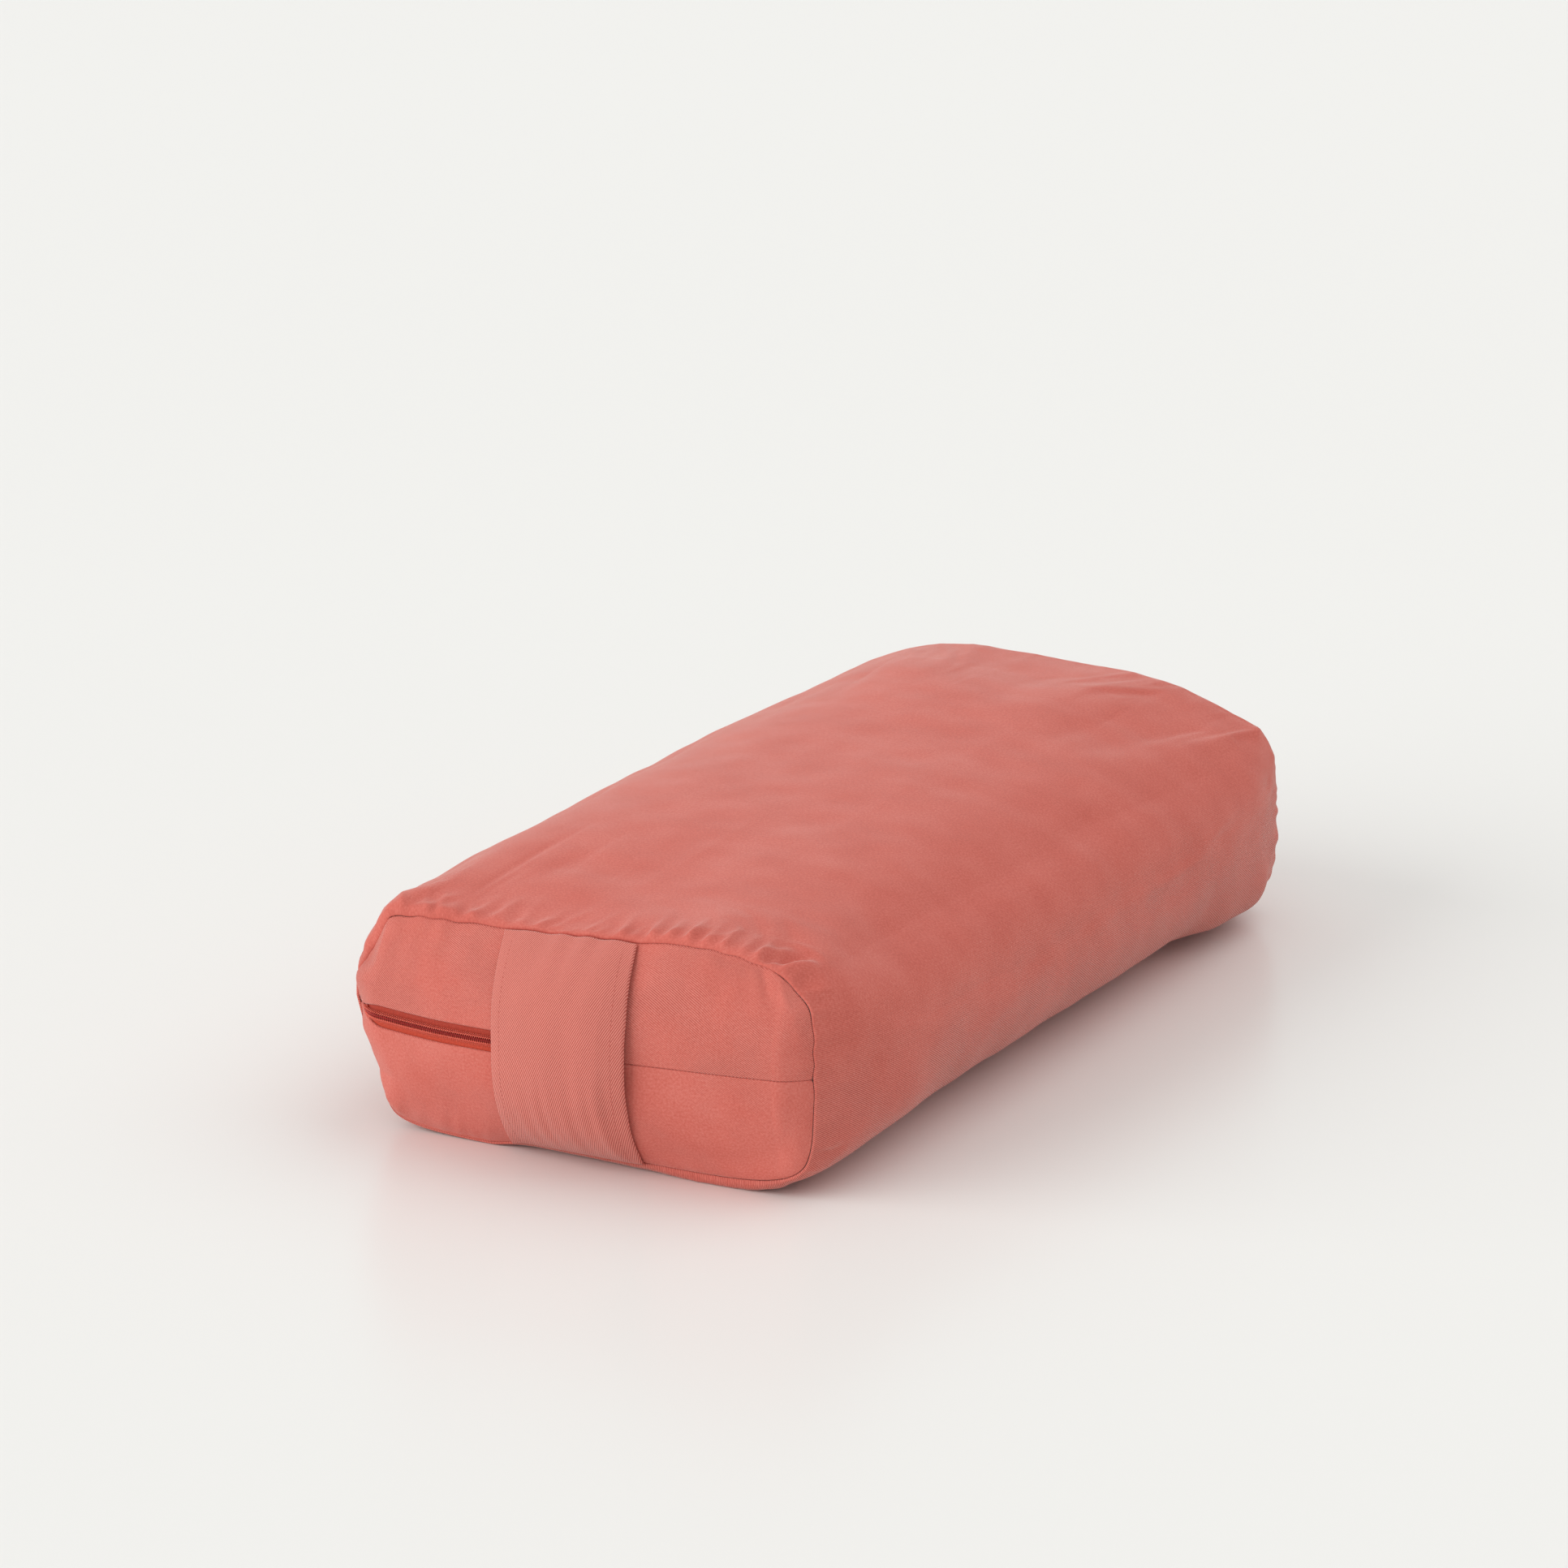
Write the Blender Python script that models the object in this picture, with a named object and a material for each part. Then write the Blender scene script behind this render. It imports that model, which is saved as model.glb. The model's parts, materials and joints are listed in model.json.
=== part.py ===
"""Rectangular yoga bolster: a zipped cotton cover over a liner bag of filling.

Units are metres, +Z is up. X runs across the bolster, Y along it, and the end
with the zip and the carry handle faces -Y. The origin is the middle of the flat
patch that the bolster rests on.
"""

import math

import bmesh
import bpy
import numpy as np
from mathutils import Matrix, Vector

# Cover: overall sizes
BODY_WIDTH = 0.310          # widest, half way along
BODY_HEIGHT = 0.132         # highest, half way along
SEAM_LENGTH = 0.558         # from one end seam to the other
SEAM_WIDTH = 0.271          # across an end seam
SEAM_TOP = 0.125            # height of an end seam at the top
SEAM_BOTTOM = 0.0045        # height of an end seam at the bottom
REST_DEPTH = 0.0080         # how far the soft underside is pressed flat
ZIP_HEIGHT = 0.068          # height of the zip and of the widest line
CLOTH = 0.0012              # cover cloth
GAP = 0.0003                # air between pieces that touch

# Ends of the cover
END_CROWN = 0.027           # how far an end panel bulges past its seam
CROWN_RADIUS = 0.700        # bend of an end panel from side to side
RIM_WIDTH = 0.020           # strip beside a side seam where the bulge rolls in

# Zip
ZIP_OPENING = 0.012         # between the folded edges of the two panels
TAPE_WIDTH = 0.012          # each tape
TAPE = 0.0005               # tape thickness
TAPE_END = 0.004            # from the side seam to the end of the tapes
TAPE_TAIL = 0.012           # tape past the closed end of the chain
CHAIN_END = 0.014           # from the side seam to the bottom stop
COIL_BACK = 0.0021          # chain centre to the back of a coil
COIL_ROOT = 0.0007          # chain centre to the roots of the turns
COIL_REACH = 0.00045        # how far a turn's head passes the chain centre
COIL = 0.0012               # coil thickness
COIL_PITCH = 0.00127        # from one turn to the next
TURN_ROOT = 0.00040         # a turn's width at its root
TURN_HEAD = 0.00055         # a turn's width at its head
PARTING = 0.0018            # how far each side parts in the slider's mouth
ZIP_PLAY = 0.0002           # play between the parts of the zip

# Slider and its pull
SLIDER_LENGTH = 0.0086
SLIDER_PLATE = 0.0009
SLIDER_WALL = 0.0007
SLIDER_BRIDGE = 0.0022      # height of the bridge over the top plate
BRIDGE_LENGTH = 0.0060
BRIDGE_WIDTH = 0.0016
BRIDGE_WALL = 0.0009
PULL_LENGTH = 0.0220
PULL_WIDTH = 0.0060
PULL = 0.0009               # thickness
PULL_ARM = 0.0010           # width of an arm beside the bridge
PULL_NECK = 0.0045          # from the axle to where the pull widens
PULL_HOLE = 0.0030
STOP_LENGTH = 0.0023
STOP_WALL = 0.0006

# Carry handle
HANDLE_WIDTH = 0.077
HANDLE_STAND = 0.0085       # from the panel to the handle, half way up
HANDLE = 0.0022             # two layers of cloth

# Inside
LINER_CLOTH = 0.0008
SLIT_LENGTH = 0.120
SLIT_WIDTH = 0.003

# Forms, as powers and shares
TAPER_POWER = 8.0
MIDDLE_TOP_POWER = 3.35
MIDDLE_BOTTOM_POWER = 2.6
SEAM_POWER = 6.0
CROWN_POWER = 2.5
RIM_POWER = 2.2
CORNER_share = 0.5          # how strongly points gather at the corners
HANDLE_POWER = 3.0
HANDLE_EDGE_share = 0.15    # how much nearer the handle's edges lie
HANDLE_REACH_share = 0.985  # of the way from the zip to the seam

# Counts
AROUND = 36
STATION_shares = (0.0, 0.32, 0.58, 0.77, 0.89, 0.95, 0.98)
RING_shares = (0.0, 0.4, 0.6, 0.76, 0.88, 0.95, 1.0)
INNER_RING_shares = (0.0, 0.45, 0.75, 0.92, 1.0)
FRONT_RING_shares = (0.0, 0.4, 0.5, 0.6, 0.7, 0.78, 0.84, 0.88, 0.91, 0.94, 0.97, 1.0)
TAPE_ROWS = 48
TAPE_LINES = 3
HANDLE_ROWS = 20
HANDLE_LINES = 8
PATH_STEPS = 4000
ROUND_STEPS = 16

# Lengths that follow from those above
HALF_LENGTH = SEAM_LENGTH / 2
RIM_INSET = CLOTH + GAP
RIM_HALF = SEAM_WIDTH / 2 - RIM_INSET
RIM_UP = SEAM_TOP - ZIP_HEIGHT - RIM_INSET
RIM_DOWN = ZIP_HEIGHT - SEAM_BOTTOM - RIM_INSET
PROBE = GAP / 3

# Depths through the zip, outwards from the face of the end panel
TAPE_FRONT = -(CLOTH + GAP)
TAPE_BACK = TAPE_FRONT - TAPE
COIL_REAR = TAPE_FRONT + ZIP_PLAY
COIL_FRONT = COIL_REAR + COIL
PLATE_REAR = COIL_FRONT + ZIP_PLAY
PLATE_FRONT = PLATE_REAR + SLIDER_PLATE
BACK_PLATE_FRONT = TAPE_BACK - ZIP_PLAY
BACK_PLATE_REAR = BACK_PLATE_FRONT - SLIDER_PLATE
LINER_SETBACK = 2 * GAP - BACK_PLATE_REAR
HOLLOW_SETBACK = LINER_SETBACK + 2 * LINER_CLOTH
FILLING_SETBACK = HOLLOW_SETBACK + 2 * GAP

# Places along the zip, from the middle of the panel towards +X
SLIDER_HALF = SLIDER_LENGTH / 2
STOPS_FROM = HANDLE_WIDTH / 4
SLIDER_AT = STOPS_FROM - ZIP_PLAY - SLIDER_HALF
STOPS_TO = STOPS_FROM + STOP_LENGTH
MOUTH_FROM = SLIDER_AT - SLIDER_HALF / 3
MOUTH_TO = SLIDER_AT + SLIDER_HALF / 2
OPENING_TO = STOPS_TO + STOP_LENGTH / 2
SEAM_FROM = HANDLE_WIDTH / 2 - GAP


def clear_scene():
    """Remove every object that the file opened with."""
    for thing in list(bpy.data.objects):
        bpy.data.objects.remove(thing, do_unlink=True)


def finish_material(name, colour, roughness, metallic=0.0):
    """A plain Principled material of one colour."""
    material = bpy.data.materials.new(name)
    material.use_nodes = True
    shader = material.node_tree.nodes["Principled BSDF"]
    shader.inputs["Base Color"].default_value = (*colour, 1.0)
    shader.inputs["Roughness"].default_value = roughness
    shader.inputs["Metallic"].default_value = metallic
    return material


def add_object(name, points, faces, material, smooth=True):
    """Put a closed mesh into the scene, with doubled points welded."""
    mesh = bpy.data.meshes.new(name)
    mesh.from_pydata([tuple(map(float, p)) for p in points], [], faces)
    mesh.validate()
    weld(mesh)
    if smooth:
        mesh.shade_smooth()
        mesh.set_sharp_from_angle(angle=math.radians(35))
    mesh.materials.append(material)
    thing = bpy.data.objects.new(name, mesh)
    bpy.context.scene.collection.objects.link(thing)
    return thing


def weld(mesh):
    """Merge points that coincide, which closes poles and seams."""
    work = bmesh.new()
    work.from_mesh(mesh)
    bmesh.ops.remove_doubles(work, verts=work.verts, dist=GAP / 100)
    bmesh.ops.dissolve_degenerate(work, edges=work.edges, dist=GAP / 100)
    work.to_mesh(mesh)
    work.free()


def mix(first, last, share):
    """Straight blend from first to last."""
    return first + (last - first) * share


def ease(value, start, end):
    """Smooth step from 0 at start to 1 at end."""
    share = np.clip((value - start) / (end - start), 0.0, 1.0)
    return share * share * (3.0 - 2.0 * share)


def around_angles():
    """Angles round a section, closer together at its four corners."""
    even = np.arange(AROUND) * math.tau / AROUND
    return even + CORNER_share / 4.0 * np.sin(4.0 * even)


def rounded_outline(angles, half, up, down, top_power, bottom_power):
    """Superellipse whose upper and lower halves differ; returns x and z."""
    cosine, sine = np.cos(angles), np.sin(angles)
    power = np.where(sine >= 0.0, top_power, bottom_power)
    reach = (np.abs(cosine) ** power + np.abs(sine) ** power) ** (-1.0 / power)
    height = np.where(sine >= 0.0, up, down)
    return half * cosine * reach, ZIP_HEIGHT + height * sine * reach


def section_ring(y, inset):
    """Ring of points round the bolster at y, inset from the cover's outside."""
    taper = abs(y / HALF_LENGTH) ** TAPER_POWER
    half = mix(BODY_WIDTH / 2, SEAM_WIDTH / 2, taper) - inset
    up = mix(BODY_HEIGHT, SEAM_TOP, taper) - ZIP_HEIGHT - inset
    down = ZIP_HEIGHT - mix(-REST_DEPTH, SEAM_BOTTOM, taper) - inset
    top_power = mix(MIDDLE_TOP_POWER, SEAM_POWER, taper)
    bottom_power = mix(MIDDLE_BOTTOM_POWER, SEAM_POWER, taper)
    x, z = rounded_outline(around_angles(), half, up, down, top_power, bottom_power)
    z = np.maximum(z, inset)
    return np.stack([x, np.full_like(x, y), z], axis=-1)


def tube_rings(front, rear, inset):
    """Rings from y = front to y = rear, closer together near the ends."""
    inner = HALF_LENGTH * np.array(STATION_shares)
    places = np.concatenate([[-HALF_LENGTH], -inner[:0:-1], inner, [HALF_LENGTH]])
    rings = np.stack([section_ring(y, inset) for y in places])
    rings[0, :, 1], rings[-1, :, 1] = front, rear
    return rings


def end_depth(x, z):
    """How far the face of an end panel stands out past its seam at x, z."""
    across = END_CROWN - (CROWN_RADIUS - np.sqrt(CROWN_RADIUS ** 2 - x * x))
    rolled = np.clip((np.abs(x) - RIM_HALF + RIM_WIDTH) / RIM_WIDTH, 0.0, 1.0)
    width_left = np.maximum(1.0 - np.abs(x / RIM_HALF) ** SEAM_POWER, 0.0)
    height = np.where(z >= ZIP_HEIGHT, RIM_UP, RIM_DOWN)
    limit = np.maximum(height * width_left ** (1.0 / SEAM_POWER), PROBE)
    rise = np.clip(np.abs(z - ZIP_HEIGHT) / limit, 0.0, 1.0)
    return across * (1.0 - rolled ** RIM_POWER) * (1.0 - rise ** CROWN_POWER)


def front_face(x, z, depth=0.0):
    """Points on the front panel's face, moved outwards along its normal."""
    slope_x = (end_depth(x + PROBE, z) - end_depth(x - PROBE, z)) / (2 * PROBE)
    slope_z = (end_depth(x, z + PROBE) - end_depth(x, z - PROBE)) / (2 * PROBE)
    normal = -np.stack([slope_x, np.ones_like(slope_x), slope_z], axis=-1)
    normal /= np.linalg.norm(normal, axis=-1, keepdims=True)
    face = np.stack([x, -HALF_LENGTH - end_depth(x, z), z], axis=-1)
    return face + normal * np.expand_dims(depth + np.zeros_like(x), -1)


def grid_faces(rows, columns, start, closed, flip):
    """Triangles of a grid, split along one diagonal so that nested layers stay apart."""
    faces = []
    for row in range(rows - 1):
        for column in range(columns if closed else columns - 1):
            after = (column + 1) % columns
            near = start + row * columns
            far = near + columns
            first = (near + column, near + after, far + after)
            second = (near + column, far + after, far + column)
            faces += [first[::-1], second[::-1]] if flip else [first, second]
    return faces


def rim_faces(near, far, flip):
    """Quads between two lists of point numbers that run side by side."""
    faces = []
    for step in range(len(near) - 1):
        quad = (near[step], near[step + 1], far[step + 1], far[step])
        faces.append(quad[::-1] if flip else quad)
    return faces


def sheet(face, back, closed=False):
    """Closed solid between two grids of points of the same shape."""
    rows, columns = face.shape[:2]
    count = rows * columns
    points = np.concatenate([face.reshape(-1, 3), back.reshape(-1, 3)])
    faces = grid_faces(rows, columns, 0, closed, False)
    faces += grid_faces(rows, columns, count, closed, True)
    first = list(range(columns)) + ([0] if closed else [])
    last = [(rows - 1) * columns + number for number in first]
    faces += rim_faces(first, [number + count for number in first], True)
    faces += rim_faces(last, [number + count for number in last], False)
    if not closed:
        left = [row * columns for row in range(rows)]
        right = [number + columns - 1 for number in left]
        faces += rim_faces(left, [number + count for number in left], False)
        faces += rim_faces(right, [number + count for number in right], True)
    return points, faces


def turn_outwards(thing):
    """Make every face of a closed body point outwards."""
    work = bmesh.new()
    work.from_mesh(thing.data)
    bmesh.ops.recalc_face_normals(work, faces=work.faces)
    work.to_mesh(thing.data)
    work.free()
    return thing


def end_cap(ring, side, setback):
    """Crowned rings that close a tube at one of its end rings."""
    shares = np.array(INNER_RING_shares)[:, None]
    x = ring[None, :, 0] * shares
    z = ZIP_HEIGHT + (ring[None, :, 2] - ZIP_HEIGHT) * shares
    y = side * (HALF_LENGTH - setback + end_depth(x, z))
    return np.stack([x, y, z], axis=-1)


def stuffed_body(inset, setback):
    """Closed pillow form inside the cover, set back from its ends."""
    rings = tube_rings(setback - HALF_LENGTH, HALF_LENGTH - setback, inset)
    front_cap = end_cap(rings[0], -1, setback)
    rear_cap = end_cap(rings[-1], 1, setback)
    grid = np.concatenate([front_cap, rings[1:-1], rear_cap[::-1]])
    rows, columns = grid.shape[:2]
    return grid.reshape(-1, 3), grid_faces(rows, columns, 0, True, False)


def make_cover_wrap(material):
    """One piece of cloth round the top, the sides and the underside."""
    face = tube_rings(-HALF_LENGTH, HALF_LENGTH, 0.0)
    back = tube_rings(-HALF_LENGTH, HALF_LENGTH, CLOTH)
    return turn_outwards(add_object("cover_wrap", *sheet(face, back, True), material))


def opening_edge(x):
    """Height of a panel's inner edge over the zip's centre line."""
    closing = ease(x, OPENING_TO, SEAM_FROM)
    return mix(ZIP_OPENING / 2, GAP / 2, closing)


def panel_shares():
    """Rings of a half panel, with one at each bend of its edge along the zip."""
    bends = [OPENING_TO, mix(OPENING_TO, SEAM_FROM, 0.5), SEAM_FROM]
    shares = [bend / RIM_HALF for bend in bends] + list(FRONT_RING_shares)
    return np.array(sorted(shares))[:, None]


def panel_angles(height):
    """Angles from one side seam over the top to the other, for a half panel."""
    whole = np.sort(around_angles() % math.tau)
    inner = whole[(whole > GAP) & (whole < math.pi - GAP)]
    first = math.atan2(opening_edge(RIM_HALF), height)
    last = math.pi - math.atan2(opening_edge(-RIM_HALF), height)
    return np.concatenate([[first], inner, [last]])


def make_front_panel(name, side, material):
    """Half of the front end, above or below the zip."""
    height = RIM_UP if side > 0 else RIM_DOWN
    angles = panel_angles(height)
    cosine, sine = np.cos(angles), np.sin(angles)
    reach = (np.abs(cosine) ** SEAM_POWER + sine ** SEAM_POWER) ** (-1.0 / SEAM_POWER)
    rim_x = RIM_HALF * cosine * reach
    rim_rise = height * sine * reach
    shares = panel_shares()
    x = rim_x[None, :] * shares
    edge = opening_edge(x)
    rise = edge + shares * (rim_rise - opening_edge(rim_x))[None, :]
    z = ZIP_HEIGHT + side * rise
    panel = add_object(name, *sheet(front_face(x, z), front_face(x, z, -CLOTH)), material)
    return turn_outwards(panel)


def make_rear_panel(material):
    """The plain end of the cover, in one piece."""
    angles = around_angles()
    x, z = rounded_outline(angles, RIM_HALF, RIM_UP, RIM_DOWN, SEAM_POWER, SEAM_POWER)
    shares = np.array(RING_shares)[:, None]
    x = x[None, :] * shares
    z = ZIP_HEIGHT + (z[None, :] - ZIP_HEIGHT) * shares
    mirror = np.array([1.0, -1.0, 1.0])
    face = front_face(x, z) * mirror
    back = front_face(x, z, -CLOTH) * mirror
    return turn_outwards(add_object("rear_panel", *sheet(face, back, True), material))


def make_carry_handle(material):
    """Wide band from the top seam to the bottom seam, standing off the panel."""
    rows = np.linspace(-HANDLE_REACH_share, HANDLE_REACH_share, HANDLE_ROWS + 1)
    lines = np.linspace(-1.0, 1.0, HANDLE_LINES + 1)
    rise, line = np.meshgrid(rows, lines, indexing="ij")
    x = line * HANDLE_WIDTH / 2
    width_left = (1.0 - np.abs(x / RIM_HALF) ** SEAM_POWER) ** (1.0 / SEAM_POWER)
    z = ZIP_HEIGHT + rise * width_left * np.where(rise > 0.0, RIM_UP, RIM_DOWN)
    bow = 1.0 - np.abs(rise / HANDLE_REACH_share) ** HANDLE_POWER
    stand = GAP + HANDLE_STAND * bow * (1.0 - HANDLE_EDGE_share * line ** 2)
    face, back = front_face(x, z, stand + HANDLE), front_face(x, z, stand)
    return turn_outwards(add_object("carry_handle", *sheet(face, back), material))


def zip_path():
    """Places along the zip's centre line and their lengths from the middle."""
    x = np.linspace(-RIM_HALF, RIM_HALF, PATH_STEPS + 1)
    depth = end_depth(x, np.full_like(x, ZIP_HEIGHT))
    length = np.concatenate([[0.0], np.cumsum(np.hypot(np.diff(x), np.diff(depth)))])
    return x, length - length[PATH_STEPS // 2]


def zip_x(along):
    """x of the places that lie the given lengths along the zip."""
    x, length = zip_path()
    return np.interp(along, length, x)


def zip_parting(along):
    """How far each side has moved from the centre line in the slider's mouth."""
    return PARTING * ease(along, MOUTH_FROM, MOUTH_TO)


def zip_points(along, side, offset, depth):
    """Points beside the zip's centre line: offset up or down, depth outwards."""
    x = zip_x(along)
    z = ZIP_HEIGHT + side * (offset + zip_parting(along))
    return front_face(x, z, depth)


def make_tape(name, side, material):
    """Woven tape that carries one coil, behind the folded edge of its panel."""
    start = zip_path()[1][0] + TAPE_END
    end = STOPS_TO + TAPE_TAIL
    along = np.linspace(start, end, TAPE_ROWS + 1)[:, None]
    offset = np.linspace(ZIP_PLAY, TAPE_WIDTH, TAPE_LINES + 1)[None, :]
    along = along + np.zeros_like(offset)
    face = zip_points(along, side, offset, TAPE_FRONT)
    back = zip_points(along, side, offset, TAPE_BACK)
    return turn_outwards(add_object(name, *sheet(face, back), material))


def coil_turns(side):
    """Lengths along the zip of the middles of one coil's turns."""
    start = zip_path()[1][0] + CHAIN_END + COIL_PITCH
    phase = 0.0 if side > 0 else COIL_PITCH / 2
    count = int((STOPS_FROM - ZIP_PLAY - start - phase) / COIL_PITCH)
    return start + phase + COIL_PITCH * np.arange(count)


def make_coil(name, side, material):
    """Nylon coil: a back strip with one flat turn per pitch that hooks the other coil."""
    middles = coil_turns(side)
    root = TURN_ROOT / 2
    corners = np.stack([middles - root, middles + root], axis=1).ravel()
    heads = np.stack([middles - TURN_HEAD / 2, middles + TURN_HEAD / 2], axis=1).ravel()
    layers = []
    for depth in (COIL_FRONT, COIL_REAR):
        layers.append(zip_points(corners, side, COIL_BACK, depth))
        layers.append(zip_points(corners, side, COIL_ROOT, depth))
        layers.append(zip_points(heads, side, -COIL_REACH, depth))
    count = len(corners)
    back, base, head, back_rear, base_rear, head_rear = (
        [layer * count + number for number in range(count)] for layer in range(6)
    )
    faces = []
    for near, far, flip in ((back, base, False), (back_rear, base_rear, True)):
        faces += rim_faces(near, far, flip)
    faces += rim_faces(back, back_rear, True)
    for step in range(count - 1):
        ends = (step, step + 1)
        if step % 2:
            faces.append(tuple(base[e] for e in ends) + tuple(base_rear[e] for e in ends[::-1]))
            continue
        faces.append((base[step], base[step + 1], head[step + 1], head[step]))
        faces.append((head_rear[step], head_rear[step + 1], base_rear[step + 1], base_rear[step]))
        faces.append((head[step], head[step + 1], head_rear[step + 1], head_rear[step]))
        faces.append((base[step], head[step], head_rear[step], base_rear[step]))
        faces.append((head[step + 1], base[step + 1], base_rear[step + 1], head_rear[step + 1]))
    faces.append((back[0], base[0], base_rear[0], back_rear[0]))
    faces.append((base[-1], back[-1], back_rear[-1], base_rear[-1]))
    coil = add_object(name, np.concatenate(layers), faces, material, smooth=False)
    return turn_outwards(coil)


def zip_frame(along):
    """Placement on the zip: x along the chain, y up, z out of the panel."""
    x = zip_x(along)
    place = front_face(np.array([x]), np.array([ZIP_HEIGHT]))[0]
    outer = front_face(np.array([x]), np.array([ZIP_HEIGHT]), GAP)[0]
    outwards = Vector(outer - place).normalized()
    up = Vector((0.0, 0.0, 1.0))
    chain = up.cross(outwards)
    turn = Matrix((chain, up, outwards)).transposed().to_4x4()
    return Matrix.Translation(Vector(place)) @ turn


def prism(outline, low, high, axes):
    """Solid of an outline pushed from low to high; axes order its coordinates."""
    count = len(outline)
    points = []
    for level in (low, high):
        for first, second in outline:
            place = [0.0, 0.0, 0.0]
            place[axes[0]], place[axes[1]], place[axes[2]] = first, second, level
            points.append(place)
    faces = [tuple(range(count))[::-1], tuple(range(count, 2 * count))]
    for step in range(count):
        after = (step + 1) % count
        faces.append((step, after, count + after, count + step))
    return points, faces


def as_tool(thing):
    """Keep an object only as an operand of another one's modifier."""
    thing.hide_render = True
    thing.display_type = "WIRE"
    return thing


def combine(body, operand, operation):
    """Union or difference with an operand that stays out of the model."""
    step = body.modifiers.new(operand.name, "BOOLEAN")
    step.operation = operation
    step.solver = "EXACT"
    step.object = as_tool(operand)


def arc_points(centre, radius, start, end, steps):
    """Points of an arc, angles in radians."""
    angles = np.linspace(start, end, steps + 1)
    return [(centre[0] + radius * math.cos(a), centre[1] + radius * math.sin(a)) for a in angles]


def slider_outline(extra):
    """Shield outline of a slider plate, as wide as its channel and walls."""
    rear = COIL_BACK + ZIP_PLAY + extra
    front = COIL_BACK + PARTING + ZIP_PLAY + extra
    nose = SLIDER_HALF / 3
    half = [(-SLIDER_HALF, rear / 2), (-SLIDER_HALF + nose / 2, rear)]
    half += [(MOUTH_TO - SLIDER_AT, front), (SLIDER_HALF - nose / 2, front)]
    half += [(SLIDER_HALF, front - nose / 2)]
    return [(u, -w) for u, w in half] + half[::-1]


def slider_wall(side):
    """Outline of a side wall that keeps one coil in the channel."""
    inner_rear, inner_front = COIL_BACK + ZIP_PLAY, COIL_BACK + PARTING + ZIP_PLAY
    rear, front = -SLIDER_HALF + SLIDER_WALL, SLIDER_HALF - SLIDER_WALL
    outline = [(rear, inner_rear), (MOUTH_TO - SLIDER_AT, inner_front), (front, inner_front)]
    outline += [(u, w + SLIDER_WALL) for u, w in outline[::-1]]
    return [(u, side * w) for u, w in outline]


def slider_post():
    """Outline of the wedge that parts the two coils."""
    tip = MOUTH_FROM - SLIDER_AT + SLIDER_HALF / 2
    wide = PARTING - COIL_REACH - ZIP_PLAY
    front = SLIDER_HALF - SLIDER_WALL
    shoulder = MOUTH_TO - SLIDER_AT
    return [(tip, 0.0), (shoulder, -wide), (front, -wide), (front, wide), (shoulder, wide)]


def slider_bridge():
    """Side view of the bridge that holds the pull: along, then outwards."""
    half, inner = BRIDGE_LENGTH / 2, BRIDGE_LENGTH / 2 - BRIDGE_WALL
    foot, top = mix(PLATE_REAR, PLATE_FRONT, 0.5), PLATE_FRONT + SLIDER_BRIDGE
    roof = top - BRIDGE_WALL
    slant = BRIDGE_WALL / 2
    under = [(-half, foot), (-inner, foot), (-inner, roof), (inner, roof), (inner, foot)]
    over = [(half, foot), (half, top - slant), (half - slant, top)]
    return under + over + [(slant - half, top), (-half, top - slant)]


def make_slider(parent, material):
    """Zip slider: two plates, side walls, a parting wedge and a bridge."""
    outline = slider_outline(SLIDER_WALL)
    plate = prism(outline, PLATE_REAR, PLATE_FRONT, (0, 1, 2))
    slider = add_object("zip_slider", *plate, material, smooth=False)
    back = prism(outline, BACK_PLATE_REAR, BACK_PLATE_FRONT, (0, 1, 2))
    parts = [("slider_back_plate", back)]
    for name, side in (("slider_wall_upper", 1), ("slider_wall_lower", -1)):
        middle = mix(PLATE_REAR, PLATE_FRONT, 0.5)
        parts.append((name, prism(slider_wall(side), COIL_REAR, middle, (0, 1, 2))))
    post_low = mix(BACK_PLATE_REAR, BACK_PLATE_FRONT, 0.5)
    post_high = mix(PLATE_REAR, PLATE_FRONT, 0.5)
    parts.append(("slider_post", prism(slider_post(), post_low, post_high, (0, 1, 2))))
    bridge = prism(slider_bridge(), -BRIDGE_WIDTH / 2, BRIDGE_WIDTH / 2, (0, 2, 1))
    parts.append(("slider_bridge", bridge))
    turn_outwards(slider)
    slider.parent = parent
    slider.matrix_basis = parent.matrix_basis.inverted() @ zip_frame(SLIDER_AT)
    for name, shape in parts:
        operand = turn_outwards(add_object(name, *shape, material, smooth=False))
        operand.parent = slider
        combine(slider, operand, "UNION")
    return slider


def pull_outline():
    """Flat outline of the pull, lying along the closed chain from its axle."""
    neck = BRIDGE_WIDTH / 2 + ZIP_PLAY + PULL_ARM
    half = PULL_WIDTH / 2
    round_from = half - PULL_LENGTH
    upper = [(PULL / 2, neck), (-PULL_NECK, neck), (-PULL_NECK - BRIDGE_LENGTH / 2, half)]
    tip = arc_points((round_from, 0.0), half, math.pi / 2, math.pi * 1.5, ROUND_STEPS // 2)
    lower = [(u, -w) for u, w in upper[::-1]]
    return upper + tip + lower


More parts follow.
